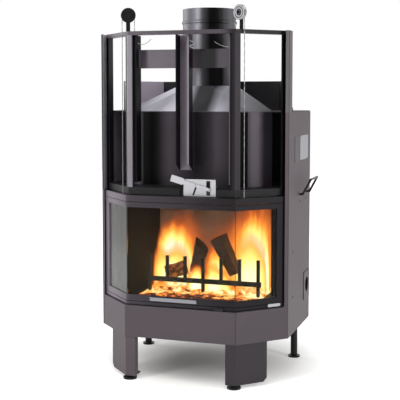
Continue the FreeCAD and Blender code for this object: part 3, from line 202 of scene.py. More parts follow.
# %% Lamps
# Place, target, width and height in metres, and power in watts.
LAMPS = {
    "lamp_front_left": ((-2.0, -3.4, 2.2), (0, 0, 0.7), (0.8, 2.4), 64),
    "lamp_right": ((3.2, -1.2, 1.5), (0.3, 0, 0.7), (0.7, 2.0), 44),
    "lamp_above": ((0.2, -1.9, 3.4), (0, 0, 0.8), (2.4, 1.6), 42),
    "lamp_left": ((-3.0, 0.9, 1.6), (-0.3, -0.2, 0.7), (1.8, 1.8), 24),
}


def aim(place, target):
    """Euler angles that turn the -Z axis of a lamp from its place to its target."""
    x, y, z = np.subtract(target, place)
    return math.pi / 2 + math.atan2(z, math.hypot(x, y)), 0, math.atan2(y, x) - math.pi / 2


for name, (place, target, (width, height), power) in LAMPS.items():
    data = bpy.data.lights.new(name, "AREA")
    data.shape = "RECTANGLE"
    data.size = width
    data.size_y = height
    data.energy = power
    lamp = bpy.data.objects.new(name, data)
    lamp.location = place
    lamp.rotation_euler = aim(place, target)
    scene.collection.objects.link(lamp)
print(len(LAMPS), "soft lamps")

# %% [markdown]
# ## Surfaces from arrays
# Every new piece is a grid of points: a function of two parameters, worked out for all points at once. It
# could also be modelled by hand from cylinders and planes, but a formula can be changed later by one
# number.

# %% Grid to mesh
def surface(name, points, finish=None, body=None, closed=False, smooth=True):
    """Quads between neighbours of a grid of shape (rows, columns, 3), in a finish, riding on a body.

    Row i and column j are joined to row i + 1 and column j + 1. Closed, the last column is joined to the
    first too, and the first and last row are capped.
    """
    rows, columns = points.shape[:2]
    last = columns if closed else columns - 1
    i, j = np.meshgrid(np.arange(rows - 1), np.arange(last), indexing="ij")
    after = (j + 1) % columns
    here, above = i * columns, (i + 1) * columns
    quads = np.stack([here + j, here + after, above + after, above + j], -1)
    faces = quads.reshape(-1, 4).tolist()
    if closed:
        ring = np.arange(columns)
        faces += [ring[::-1].tolist(), (ring + (rows - 1) * columns).tolist()]
    mesh = bpy.data.meshes.new(name)
    mesh.from_pydata(points.reshape(-1, 3).tolist(), [], faces)
    mesh.polygons.foreach_set("use_smooth", np.full(len(mesh.polygons), smooth))
    piece = bpy.data.objects.new(name, mesh)
    scene.collection.objects.link(piece)
    if finish:
        mesh.materials.append(finish)
    if body:
        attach(piece, body)
    return piece


OCTAVES = 5
FINER, WEAKER = 2.1, 1.6
PHASE_REACH = 6.3
RIPPLE_SUM = 2.2


def ripple(x, y, seed):
    """Smooth noise between about -1 and 1: a sum of waves in different directions, each finer and weaker."""
    rng = np.random.default_rng(seed)
    total = np.zeros(np.broadcast(x, y).shape)
    for octave in range(OCTAVES):
        a, b, phase = rng.uniform(-1, 1, 3)
        total = total + np.sin((a * x + b * y) * FINER ** octave + PHASE_REACH * phase) / WEAKER ** octave
    return total / RIPPLE_SUM


print("grid and ripple helpers ready")

# %% Floor
FLOOR_HALF = 9.0
u, v = np.meshgrid([-FLOOR_HALF, FLOOR_HALF], [-FLOOR_HALF, FLOOR_HALF])
floor = surface("floor", np.stack([u, v, 0 * u], -1))
print("floor", floor.dimensions[:])

# %% [markdown]
# ## Shared finishes
# Painted sheet, turned metal and sooty brick have effects in common: slow clouds of tone, a fine grain
# and soot that gathers high up. Pictures of such sheets would need unwrapping and would repeat, so each
# effect is worked out from noise, in a node group that is built once. A group gives out colours, heights
# and masks, and the shader itself stays in the material.

# %% Group helpers
COLOUR, VALUE, VECTOR = "NodeSocketColor", "NodeSocketFloat", "NodeSocketVector"


def new_group(name, inputs, outputs):
    """An empty node group with named sockets: gives the group, what it is given and what it gives out."""
    group = bpy.data.node_groups.new(name, "ShaderNodeTree")
    for label, kind, value in inputs:
        socket = group.interface.new_socket(label, in_out="INPUT", socket_type=kind)
        if value is not None:
            socket.default_value = value
    for label, kind in outputs:
        group.interface.new_socket(label, in_out="OUTPUT", socket_type=kind)
    return group, group.nodes.new("NodeGroupInput").outputs, group.nodes.new("NodeGroupOutput").inputs


def vary(tree, value, spread, middle):
    """A middle value that noise moves up and down: middle + spread * (noise - 0.5)."""
    return calc(tree, "MULTIPLY_ADD", calc(tree, "SUBTRACT", value, 0.5), spread, middle)


print("group helpers ready")


# %% Paint grain
TONE_RANGE = (0.75, 1.25)


def make_paint_grain():
    """Sprayed paint: slow clouds of lighter and darker tone, and a fine pebbled height."""
    group, given, gives = new_group(
        "paint_grain",
        [("Vector", VECTOR, None), ("Dark", COLOUR, (0.1, 0.1, 0.1, 1)),
         ("Light", COLOUR, (0.2, 0.2, 0.2, 1)), ("Grain", VALUE, 900.0), ("Gloss", VALUE, 0.4),
         ("Spread", VALUE, 0.12)],
        [("Colour", COLOUR), ("Roughness", VALUE), ("Height", VALUE)])
    clouds = noise(group, given["Vector"], scale=7.0, detail=4.0)
    speck = noise(group, given["Vector"], scale=given["Grain"], detail=1.0)
    tone = remap(group, calc(group, "ADD", clouds, speck), *TONE_RANGE)
    feed(group, gives["Colour"], blend_colour(group, tone, given["Dark"], given["Light"]))
    feed(group, gives["Roughness"], vary(group, clouds, given["Spread"], given["Gloss"]))
    feed(group, gives["Height"], speck)
    return group


paint_grain = make_paint_grain()
print("group", paint_grain.name)


# %% Soot
SOOT_RAGGED = 0.3


def make_soot():
    """Mask of soot: more of it higher up, broken by noise."""
    group, given, gives = new_group(
        "soot", [("Vector", VECTOR, None), ("Low", VALUE, 0.3), ("High", VALUE, 0.7)], [("Mask", VALUE)])
    height = axes_of(group, given["Vector"])["Z"]
    cloud = noise(group, given["Vector"], scale=14.0, detail=5.0)
    lifted = calc(group, "MULTIPLY_ADD", cloud, SOOT_RAGGED, height)
    feed(group, gives["Mask"], remap(group, lifted, given["Low"], given["High"]))
    return group


soot = make_soot()
print("group", soot.name)


# %% Brushed lines
def make_brushed_lines():
    """Fine lines along one axis: stretched noise, as a height and a roughness."""
    group, given, gives = new_group(
        "brushed_lines",
        [("Vector", VECTOR, None), ("Stretch", VECTOR, (1, 1, 1)), ("Gloss", VALUE, 0.3),
         ("Spread", VALUE, 0.2)],
        [("Roughness", VALUE), ("Height", VALUE)])
    stretched = vector_calc(group, "MULTIPLY", given["Vector"], given["Stretch"])
    lines = noise(group, stretched, scale=10.0, detail=3.0)
    feed(group, gives["Roughness"], vary(group, lines, given["Spread"], given["Gloss"]))
    feed(group, gives["Height"], lines)
    return group


brushed_lines = make_brushed_lines()
print("group", brushed_lines.name)

# %% [markdown]
# ## Materials
# The shell is sprayed with heat-proof paint in a warm dark grey, which has a soft metallic sheen. The
# right front leg, the door's surround and the channels each get their own pair of tones. The right front
# leg is painted darker than the left one, as shade, and the black of the firebox roof is painted shade in
# the band above the door. A bump far below a millimetre gives the pebbled skin of sprayed paint. As
# geometry it would take millions of faces.

# %% Material helpers
PEBBLE_DEPTH = 0.0004


def new_material(name, **sockets):
    """A Principled material: gives the material, its tree, the shader and object coordinates."""
    made = bpy.data.materials.new(name)
    made.use_nodes = True
    tree = made.node_tree
    shader = tree.nodes["Principled BSDF"]
    for label, value in sockets.items():
        shader.inputs[label.replace("_", " ")].default_value = value
    return made, tree, shader, node(tree, "ShaderNodeTexCoord").outputs["Object"]


def use_group(tree, group, links):
    """A node group placed in a tree: gives what it puts out."""
    return node(tree, "ShaderNodeGroup", links, node_tree=group).outputs


def bump(tree, shader, height, strength, distance):
    """A height that tilts the shader's normal."""
    made = node(tree, "ShaderNodeBump", {"Height": height, "Strength": strength, "Distance": distance})
    feed(tree, shader.inputs["Normal"], made.outputs["Normal"])


def new_paint(name, dark, light, gloss, metallic, sheen, grain=900.0):
    """A material with a coat of paint: gives what new_material gives, and what the coat puts out."""
    made, tree, shader, place = new_material(name, Metallic=metallic, Specular_IOR_Level=sheen)
    coat = use_group(tree, paint_grain, {"Vector": place, "Dark": (*dark, 1), "Light": (*light, 1),
                                         "Grain": grain, "Gloss": gloss})
    return made, tree, shader, place, coat


def lay_paint(tree, shader, coat, colour, pebble=0.25):
    """The colour, roughness and pebbled skin of a coat of paint, put on the shader."""
    feed(tree, shader.inputs["Base Color"], colour)
    feed(tree, shader.inputs["Roughness"], coat["Roughness"])
    bump(tree, shader, coat["Height"], pebble, PEBBLE_DEPTH)


print("material helpers ready")

# %% Plain paints
SHELL_DARK, SHELL_LIGHT = (0.082, 0.064, 0.073), (0.104, 0.083, 0.094)
CHANNEL_BLACK = (0.008, 0.008, 0.009)


def painted(name, dark, light, gloss, metallic=0.0, sheen=0.5, grain=900.0, pebble=0.25):
    """Sprayed paint between two tones."""
    made, tree, shader, place, coat = new_paint(name, dark, light, gloss, metallic, sheen, grain)
    lay_paint(tree, shader, coat, coat["Colour"], pebble)
    return made


shell_paint = painted("shell_paint", SHELL_DARK, SHELL_LIGHT, gloss=0.55, metallic=0.1, sheen=0.3)
# A darker copy of the shell paint for the right front leg: painted shade.
shaded_leg_paint = painted("shaded_leg_paint", (0.028, 0.023, 0.027), (0.038, 0.032, 0.037),
                    gloss=0.55, metallic=0.1, sheen=0.3)
strip_paint = painted("strip_paint", (0.034, 0.029, 0.033), (0.052, 0.045, 0.05),
                      gloss=0.4, metallic=0.1, sheen=0.2)
channel_paint = painted("channel_paint", CHANNEL_BLACK, (0.02, 0.019, 0.02), gloss=0.5, sheen=0.15)
black_paint = painted("black_paint", (0.006, 0.006, 0.006), (0.016, 0.016, 0.016), gloss=0.35, sheen=0.2)
cast_iron = painted("cast_iron", (0.01, 0.009, 0.008), (0.04, 0.036, 0.032),
                    gloss=0.62, metallic=0.2, sheen=0.2, grain=300.0, pebble=0.7)
print(len(bpy.data.materials), "materials so far")

# %% [markdown]
# ## Painted light and shade on one sheet
# Some sheets show more than one tone. The left corner post has a strip in front that is painted light,
# and black behind it that is painted shade. Above the door the left side panel is black on its front edge,
# and its inside is painted light. The inside of one wing of the shroud is painted light too, and the rest
# of the shroud is painted dark as shade. The upright above the right side panel is a little lighter. A
# coordinate, or the way a face is turned, makes the mask, so that each sheet stays one solid.

# %% Masked tones
TONE_FADE = 0.004
TURNED = (0.4, 0.6)


def masked_paint(name, dark, light, coats, gloss=0.55, sheen=0.3):
    """Paint with other tones laid over it where a coordinate goes from low to high.

    A tone with a direction stays on the faces that are turned that way.
    """
    made, tree, shader, place, coat = new_paint(name, dark, light, gloss, metallic=0.1, sheen=sheen)
    normal = node(tree, "ShaderNodeTexCoord").outputs["Normal"]
    axes = axes_of(tree, place)
    colour = coat["Colour"]
    for tone, facing, axis, low, high in coats:
        mask = remap(tree, axes[axis], low, high)
        if facing:
            facing_share = vector_calc(tree, "DOT_PRODUCT", normal, facing, output="Value")
            mask = calc(tree, "MULTIPLY", remap(tree, facing_share, *TURNED), mask)
        colour = blend_colour(tree, mask, colour, (*tone, 1))
    lay_paint(tree, shader, coat, colour)
    return made


print("second coats ready")

# %% Post, panels and shroud
PAINTED_SHADE_BLACK = (0.004, 0.004, 0.005)
STRIP_DEPTH = 0.006
STRIP_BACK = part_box("corner_post_left")[0].y + STRIP_DEPTH
DOOR_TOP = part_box("door_carriage")[1].z
COVER_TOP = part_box("body_cover")[1].z
ANY_WAY, TO_FRONT, TO_RIGHT = None, (0, -1, 0), (1, 0, 0)
PAINTED_LIGHT_INSIDE = (0.68, 0.6, 0.69)
UPRIGHT_TONE = (0.11, 0.098, 0.105)
WING_START, WING_FULL = -0.05, -0.1
# Light strip of the left corner post: painted light. The black behind it is painted shade.
post_paint_left = masked_paint("post_paint_left", (0.2, 0.185, 0.205), (0.26, 0.243, 0.27), [
    (PAINTED_SHADE_BLACK, ANY_WAY, "Y", STRIP_BACK, STRIP_BACK + TONE_FADE)], gloss=0.4, sheen=0.1)
# Above the door the inside of the left side panel is painted light.
panel_paint_left = masked_paint("panel_paint_left", SHELL_DARK, SHELL_LIGHT, [
    (CHANNEL_BLACK, TO_FRONT, "Z", DOOR_TOP, DOOR_TOP + TONE_FADE),
    (PAINTED_LIGHT_INSIDE, TO_RIGHT, "Z", DOOR_TOP, DOOR_TOP + TONE_FADE)])
panel_paint_right = masked_paint("panel_paint_right", (0.072, 0.056, 0.064), (0.091, 0.073, 0.082), [
    (UPRIGHT_TONE, TO_RIGHT, "Z", COVER_TOP - TONE_FADE, COVER_TOP)])
# Dark shroud: painted shade. The inside of its left wing is painted light.
shroud_paint = masked_paint("shroud_paint", (0.012, 0.012, 0.014), (0.02, 0.019, 0.021), [
    (PAINTED_LIGHT_INSIDE, TO_RIGHT, "X", WING_START, WING_FULL)])
# Depth at which the painted shade behind the post's strip starts.
print("primer starts at y", round(STRIP_BACK, 3))

# %% [markdown]
# ## Broad bands of painted light
# On the smoke box, the hood, the flue, the guide frame, the apron and the door, reflections, highlights and
# shade are painted into the colour, in broad soft bands from side to side, lighter towards the lamps and dark
# between them. A mirror-like sheet in a room full of lamps would show that by itself, but it would change
# with every view. Here each piece has a ramp of tones along one level direction, with the grain of the paint
# laid over it.

# %% Banded sheet
PAINT_TINT = np.array((1.0, 0.86, 1.01))
BARE_TINT = np.array((0.96, 0.93, 1.03))
SHELL_TINT = np.array((1.0, 0.81, 0.94))
GRAIN_DARK, GRAIN_LIGHT = (0.86, 0.86, 0.86), (1, 1, 1)
BAND_PEBBLE = 0.2
ACROSS_FRONT = (1, 0, 0)
ACROSS_FLUE = (0.949, 0.315, 0)


def banded(name, tones, gloss, metallic, sheen=0.4, tint=PAINT_TINT, direction=ACROSS_FRONT):
    """Painted reflections and shade: tone along a level direction, in straight ramps between pairs of a
    distance and a grey.
    """
    made, tree, shader, place, coat = new_paint(name, GRAIN_DARK, GRAIN_LIGHT, gloss, metallic, sheen)
    start, end = tones[0][0], tones[-1][0]
    along = vector_calc(tree, "DOT_PRODUCT", place, direction, output="Value")
    share = node(tree, "ShaderNodeMapRange", {"Value": along, "From Min": start, "From Max": end})
    stops = [((at - start) / (end - start), (*(grey * tint), 1)) for at, grey in tones]
    bands = colour_ramp(tree, share.outputs["Result"], stops)
    lay_paint(tree, shader, coat, blend_colour(tree, 1.0, bands, coat["Colour"], "MULTIPLY"), BAND_PEBBLE)
    return made


print("banded sheet ready")

# %% Upper part in bands
# Distance across the piece in metres, and grey of the painted reflections, highlights and shade.
BOX_TONES = [(-0.308, 0.22), (-0.235, 0.16), (-0.2, 0.003), (-0.165, 0.003), (-0.09, 0.05), (0.01, 0.022),
             (0.1, 0.06), (0.2, 0.005), (0.224, 0.005), (0.245, 0.055), (0.308, 0.055)]
HOOD_TONES = [(-0.3, 0.2), (-0.06, 0.9), (0.0, 0.06), (0.06, 0.06), (0.1, 0.6), (0.16, 0.3), (0.3, 0.05)]
FLUE_TONES = [(-0.116, 0.08), (-0.065, 0.3), (-0.03, 0.08), (0.0, 0.006), (0.05, 0.006), (0.085, 0.16),
              (0.116, 0.04)]
box_paint = banded("box_paint", BOX_TONES, gloss=0.33, metallic=0.45, sheen=0.12)
hood_paint = banded("hood_paint", HOOD_TONES, gloss=0.4, metallic=0.2, tint=BARE_TINT)
flue_paint = banded("flue_paint", FLUE_TONES, gloss=0.35, metallic=0.5, sheen=0.1, tint=BARE_TINT,
                    direction=ACROSS_FLUE)
print("smoke box, hood and flue in bands")

# %% Door, apron and guide frame in bands
# Distance across the piece in metres, and grey. The door is painted lighter on the left, towards the lamps.
# The apron's left facet is painted lighter, and a dark line at its right bend is painted shade in the crease.
# The cross plate and the rail carry painted shade on the right, the centre post painted shade inside and a
# painted highlight on its lip, and the right corner post a painted light web and a painted shade strip.
DOOR_TONES = [(-0.38, 0.24), (-0.3, 0.2), (-0.235, 0.13), (-0.205, 0.06), (0.0, 0.04), (0.12, 0.024),
              (0.22, 0.015), (0.38, 0.014)]
APRON_BEND = 0.225
CREASE = 0.0015
APRON_TONES = [(-0.39, 0.105), (-0.23, 0.1), (-0.22, 0.087), (APRON_BEND - CREASE, 0.087), (APRON_BEND, 0.02),
               (APRON_BEND + CREASE, 0.09), (0.39, 0.085)]
CROSS_TONES = [(-0.19, 0.13), (0.03, 0.13), (0.045, 0.08), (0.058, 0.01), (0.115, 0.01), (0.135, 0.08),
               (0.19, 0.09)]
RAIL_TONES = [(-0.378, 0.12), (-0.1, 0.1), (0.0, 0.075), (0.17, 0.075), (0.2, 0.02), (0.378, 0.01)]
POST_TONES = [(-0.027, 0.004), (-0.0235, 0.004), (-0.022, 0.2), (0.012, 0.22), (0.018, 0.06), (0.0215, 0.24),
              (0.0262, 0.24), (0.0266, 0.01), (0.027, 0.01)]
CORNER_TONES = [(0.187, 0.13), (0.19, 0.13), (0.1915, 0.006), (0.2, 0.01), (0.21, 0.022), (0.216, 0.035),
                (0.2314, 0.035)]
door_paint = banded("door_paint", DOOR_TONES, gloss=0.4, metallic=0.1, sheen=0.12)
apron_paint = banded("apron_paint", APRON_TONES, gloss=0.55, metallic=0.1, sheen=0.3, tint=SHELL_TINT)
cross_paint = banded("cross_paint", CROSS_TONES, gloss=0.42, metallic=0.3, sheen=0.3)
rail_paint = banded("rail_paint", RAIL_TONES, gloss=0.42, metallic=0.1, sheen=0.15)
post_paint_centre = banded("post_paint_centre", POST_TONES, gloss=0.45, metallic=0.2, sheen=0.15)
post_paint_right = banded("post_paint_right", CORNER_TONES, gloss=0.4, metallic=0.1, sheen=0.1)
print("door, apron and guide frame in bands")

# %% [markdown]
# ## Bright metal
# The damper's plate and lever are zinc plated, and the pull strip and the wire ropes are bare steel. Each
# has fine lines from rolling or drawing. An anisotropic shader could bend the highlights, but on pieces
# as small as these, lines in the roughness and in a bump do it.

# %% Bright metal
def bright_metal(name, colour, stretch, gloss):
    """Plated or polished metal with fine lines along one axis."""
    made, tree, shader, place = new_material(name, Metallic=1.0, Base_Color=(*colour, 1))
    lines = use_group(tree, brushed_lines, {"Vector": place, "Stretch": stretch, "Gloss": gloss})
    feed(tree, shader.inputs["Roughness"], lines["Roughness"])
    bump(tree, shader, lines["Height"], strength=0.15, distance=0.0002)
    return made


zinc = bright_metal("zinc", (0.44, 0.44, 0.46), stretch=(6, 6, 60), gloss=0.5)
pull_metal = bright_metal("pull_metal", (0.22, 0.22, 0.24), stretch=(2, 60, 60), gloss=0.35)
wire = bright_metal("wire", (0.28, 0.28, 0.29), stretch=(60, 60, 4), gloss=0.4)
plate_metal = bright_metal("plate_metal", (0.34, 0.34, 0.36), stretch=(20, 20, 60), gloss=0.5)
print("bright metals ready")

# %% [markdown]
# ## Wheel faces
# The pulleys are turned. The right one shows bright rings with dark grooves between them. The left one is
# the same wheel in shade, so its face is painted black, with a bright axle. Rings could be cut into the
# solid, but they are finer than anything else on it, so both faces are drawn from the distance to the
# wheel's axis.

# %% Wheels
WHEEL_TURN = math.radians(27)
WHEEL_RADIUS = 0.0285
GROOVES = 90.0
BLACK, BRIGHT, GREY = (*CHANNEL_BLACK, 1), (0.5, 0.5, 0.52, 1), (0.1, 0.1, 0.105, 1)
# Share of the wheel's radius, and tone.
RINGED = ((0.1, GREY), (0.14, BRIGHT), (0.26, BRIGHT), (0.32, BLACK), (0.42, BLACK), (0.48, BRIGHT),
          (0.6, BRIGHT), (0.66, GREY), (0.72, BLACK), (0.78, BRIGHT), (0.94, BRIGHT), (0.98, GREY))
AXLE_ONLY = ((0.2, BRIGHT), (0.24, BLACK), (1.0, BLACK))


def make_wheel(name, node_name, sign, rings):
    """Turned face: the distance to the axis, |(point - centre) x axis|, picks a tone from a list of rings."""
    made, tree, shader, place = new_material(name, Metallic=0.6, Roughness=0.38)
    low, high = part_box(node_name)
    axis = (sign * math.sin(WHEEL_TURN), math.cos(WHEEL_TURN), 0)
    lever = vector_calc(tree, "SUBTRACT", place, (low + high) / 2)
    across = vector_calc(tree, "CROSS_PRODUCT", lever, axis)
    share = calc(tree, "DIVIDE", vector_calc(tree, "LENGTH", across, output="Value"), WHEEL_RADIUS)
    feed(tree, shader.inputs["Base Color"], colour_ramp(tree, share, rings))
    grooves = calc(tree, "SINE", calc(tree, "MULTIPLY", share, GROOVES))
    bump(tree, shader, grooves, strength=0.2, distance=0.0003)
    return made


wheel_ringed = make_wheel("wheel_ringed", "pulley_right", 1, RINGED)
# The left wheel's black face is painted shade.
wheel_shaded = make_wheel("wheel_shaded", "pulley_left", -1, AXLE_ONLY)
print("wheel faces ready")

# %% [markdown]
# ## Fire brick and glass
# The firebox is lined with pale, sandy slabs of fire brick. Soot blackens the back from the top down, and
# the sides all over. The panes are clear ceramic glass with a faint film in places. The slabs could be
# painted by hand, but the shared soot group knows the height of each point. The panes mirror little, so
# that the fire stays easy to see behind them.

# %% Fire brick
BRICK_DARK, BRICK_LIGHT = (0.26, 0.15, 0.1, 1), (0.44, 0.28, 0.2, 1)
SOOT_TONE = (0.012, 0.009, 0.007, 1)


def make_fire_brick(name, soot_low, soot_high):
    """Pale slab, sandy, with soot that thickens between two heights."""
    made, tree, shader, place = new_material(name, Roughness=0.9, Specular_IOR_Level=0.2)
    sand = noise(tree, place, scale=260.0, detail=4.0)
    tone = blend_colour(tree, sand, BRICK_DARK, BRICK_LIGHT)
    mask = use_group(tree, soot, {"Vector": place, "Low": soot_low, "High": soot_high})["Mask"]
    feed(tree, shader.inputs["Base Color"], blend_colour(tree, mask, tone, SOOT_TONE))
    bump(tree, shader, sand, strength=0.6, distance=0.001)
    return made


fire_brick = make_fire_brick("fire_brick", soot_low=0.48, soot_high=1.05)
sooty_brick = make_fire_brick("sooty_brick", soot_low=-0.5, soot_high=0.3)
print("fire brick ready")


# %% Glass
FILM_RANGE = (0.55, 0.9)
FILM_ROUGHNESS = 0.03


def make_glass():
    """Clear glass with little mirror. Where a slow noise is high, a film makes it slightly rough."""
    made, tree, shader, place = new_material(
        "glass", Roughness=0.0, IOR=1.2, Transmission_Weight=1.0, Base_Color=(0.93, 0.95, 0.93, 1),
        Specular_Tint=(0.25, 0.3, 0.28, 1))
    haze = noise(tree, place, scale=9.0, detail=3.0)
    feed(tree, shader.inputs["Roughness"], remap(tree, haze, *FILM_RANGE, 0.0, FILM_ROUGHNESS))
    return made


glass = make_glass()
print("glass ready")

# %% [markdown]
# ## Finishes on the solids
# Each solid takes the finish of its piece. One table is easier to check than a line for each solid.

# %% Assign
FINISHES = {
    apron_paint: ["apron"],
    shell_paint: ["base_pan", "rear_panel", "body_cover", "air_inlet", "leg_front_left"],
    panel_paint_left: ["side_panel_left"],
    panel_paint_right: ["side_panel_right"],
    # The right front leg takes the darker copy of the shell paint, as painted shade.
    shaded_leg_paint: ["leg_front_right"],
    shroud_paint: ["rear_shroud"],
    cross_paint: ["cross_plate"],
    rail_paint: ["top_rail"],
    post_paint_left: ["corner_post_left"],
    post_paint_right: ["corner_post_right"],
    post_paint_centre: ["centre_post"],
    # The firebox roof takes the black channel paint as painted shade in the band above the door.
    channel_paint: ["end_post_left", "end_post_right", "guide_shoe_left", "guide_shoe_right", "firebox_roof"],
    hood_paint: ["hood"],
    flue_paint: ["flue"],
    box_paint: ["smoke_box"],
    door_paint: ["door_carriage", "glazed_frame"],
    strip_paint: ["mouth_frame", "firebox_shell"],
    black_paint: ["foot_front_left", "foot_front_right", "leg_rear_left", "leg_rear_right", "air_knob",
                  "handle", "pulley_bracket_left", "pulley_bracket_right", "door_catch"],
    cast_iron: ["hearth", "ash_grate", "log_retainer", "counterweight_left", "counterweight_right"],
    fire_brick: ["lining_back"],
    sooty_brick: ["lining_left", "lining_right", "baffle"],
    zinc: ["damper_plate", "damper_lever", "damper_flap"],
    wheel_shaded: ["pulley_left"],
    wheel_ringed: ["pulley_right"],
    pull_metal: ["door_pull"],
    wire: ["cable_wrap_left", "cable_wrap_right"],
    glass: ["glass_front", "glass_left", "glass_right"],
}
for finish, names in FINISHES.items():
    for name in names:
        nodes[name].data.materials.clear()
        nodes[name].data.materials.append(finish)
print(sum(map(len, FINISHES.values())), "solids finished")

# %% [markdown]
# ## The floor's finish
# A studio floor is matt and pale, and it is lit to white round the object. Stronger lamps would do that,
# but they would bleach the insert too. So the floor has a glow that only the camera, metal and glass see.
# It fades out under the insert, where the shadow lies.

# %% Floor finish
GLOW_START = 0.1
GLOW_FULL = 0.78


def make_floor_finish():
    """Matt pale floor with a glow, for the camera and in reflections, that grows away from the insert."""
    made, tree, shader, place = new_material("floor_finish", Roughness=0.9, Base_Color=(0.8, 0.79, 0.75, 1))
    lift = remap(tree, vector_calc(tree, "LENGTH", place, output="Value"), GLOW_START, GLOW_FULL)
    ray = node(tree, "ShaderNodeLightPath").outputs
    mirrored = calc(tree, "MAXIMUM", ray["Is Camera Ray"], ray["Is Glossy Ray"])
    seen = calc(tree, "MAXIMUM", mirrored, ray["Is Transmission Ray"])
    glow = node(tree, "ShaderNodeEmission", {"Color": WHITE, "Strength": lift})
    dark = node(tree, "ShaderNodeEmission", {"Color": (0, 0, 0, 1), "Strength": 0.0})
    pick = node(tree, "ShaderNodeMixShader", {0: seen, 1: dark.outputs[0], 2: glow.outputs[0]})
    total = node(tree, "ShaderNodeAddShader", {0: shader.outputs[0], 1: pick.outputs[0]})
    feed(tree, tree.nodes["Material Output"].inputs["Surface"], total.outputs[0])
    return made


floor.data.materials.append(make_floor_finish())
print("floor glows from", GLOW_START, "to", GLOW_FULL, "m")

# %% [markdown]
# ## Cables
# The door hangs on two wire ropes of 3 mm. A rope shows as a twisted bundle. Six strands could each be
# swept as a tube, but at this size one tube does, whose radius swells six times round, with a swelling
# that turns along its length. Above the door a rope gets shorter as the door goes up, and above the
# weight it gets longer. Each is swept once, from the solid that it stands in for, and rides on the body.

# %% Cable runs
STRANDS = 6
LAY = 0.03
ROPE_RADIUS = 0.0015
SWELL = 0.12
ROPE_SIDES = 24
STEPS_IN_LAY = 16


def rope(name, x, y, low, high):
    """Upright rope: radius times 1 - swell + swell cos(strands * angle - turn), with turn growing along Z."""
    steps = max(8, int((high - low) / LAY * STEPS_IN_LAY))
    z = np.linspace(low, high, steps)[:, None]
    angle = np.linspace(0, 2 * np.pi, ROPE_SIDES, endpoint=False)[None, :]
    reach = ROPE_RADIUS * (1 - SWELL + SWELL * np.cos(STRANDS * angle - 2 * np.pi * z / LAY))
    points = np.stack([x + reach * np.cos(angle), y + reach * np.sin(angle), z + 0 * angle], -1)
    return surface(name, points, wire, closed=True)


for side in ("left", "right"):
    for node_name, mover in ((f"cable_door_{side}", "carriage"), (f"cable_weight_{side}", f"weight_{side}")):
        low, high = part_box(node_name)
        centre = (low + high) / 2
        run = rope(f"rope_{node_name}", centre.x, centre.y, low.z, high.z)
        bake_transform(run)
        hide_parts(node_name)
        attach(run, "body")
        print(run.name, round(high.z - low.z, 3), "m")

# %% [markdown]
# ## Embers and logs
# The fire lies on the grate behind the retainer. The ember bed could be hundreds of loose lumps, but they
# show as one glowing heap, so it is a height field: a low mound with lumps. Two split logs stand in it
# and two lie across. A split log is a wedge of a trunk, so its outline is an arc of bark and two flat
# faces.

# %% Ember finish
EMBER_FRONT, EMBER_HOT, EMBER_BACK = -0.205, -0.06, 0.095
EMBER_LIFT = (-0.12, 0.035)
EMBER_STOPS = ((0.36, (0.02, 0.004, 0.002, 1)), (0.42, (0.3, 0.04, 0.006, 1)), (0.47, (0.85, 0.22, 0.025, 1)),
               (0.53, (1.0, 0.55, 0.12, 1)), (0.6, (1.0, 0.86, 0.45, 1)))


def make_ember_finish():
    """Crusts of ash over glowing wood: noise, hotter to the back, picks from dark crust to yellow heat."""
    made, tree, shader, place = new_material("embers", Roughness=0.9, Emission_Strength=1.25,
                                             Specular_IOR_Level=0.1, Base_Color=(0.05, 0.04, 0.035, 1))
    crust = noise(tree, place, scale=42.0, detail=6.0, distortion=0.9)
    patches = noise(tree, place, scale=17.0, detail=2.0, distortion=0.6)
    hotter = remap(tree, axes_of(tree, place)["Y"], EMBER_FRONT, EMBER_HOT, *EMBER_LIFT)
    mixed = node(tree, "ShaderNodeMix", {0: 0.5, 2: crust, 3: patches}).outputs[0]
    colour = colour_ramp(tree, calc(tree, "ADD", mixed, hotter), EMBER_STOPS)
    feed(tree, shader.inputs["Emission Color"], colour)
    bump(tree, shader, crust, strength=0.8, distance=0.006)
    return made


embers = make_ember_finish()
print("ember finish with", len(EMBER_STOPS), "stops")

# %% Charred wood
CHAR_DARK, CHAR_LIGHT = (0.008, 0.005, 0.004, 1), (0.075, 0.04, 0.022, 1)
GLOW_DARK, GLOW_LIGHT = (0.12, 0.02, 0.004, 1), (0.9, 0.26, 0.05, 1)
GLOWING_FIBRE = (0.45, 0.65)


def make_char_finish(name, glow):
    """Charred wood: long fibres, and checks across them. Fibres near the fire glow."""
    made, tree, shader, place = new_material(name, Roughness=0.85, Emission_Strength=glow)
    fibre = noise(tree, place, scale=70.0, detail=6.0)
    checks = node(tree, "ShaderNodeTexVoronoi", {"Vector": place, "Scale": 90.0}).outputs["Distance"]
    feed(tree, shader.inputs["Base Color"], blend_colour(tree, fibre, CHAR_DARK, CHAR_LIGHT))
    heat = remap(tree, fibre, *GLOWING_FIBRE)
    feed(tree, shader.inputs["Emission Color"], blend_colour(tree, heat, GLOW_DARK, GLOW_LIGHT))
    bump(tree, shader, calc(tree, "ADD", fibre, checks), strength=0.9, distance=0.003)
    return made


charred = make_char_finish("charred_wood", glow=0.02)
glowing = make_char_finish("glowing_wood", glow=0.4)
print("charred and glowing wood ready")

# %% Ember bed
HEARTH_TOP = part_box("hearth")[1].z
BED_HALF = 0.255
BED_GAP = 0.001
HEAP_START, HEAP_SPAN = -0.092, 0.04
LAYER, LAYER_LUMPS = 0.004, 0.009
HEAP, HEAP_LUMPS = 0.02, 0.022


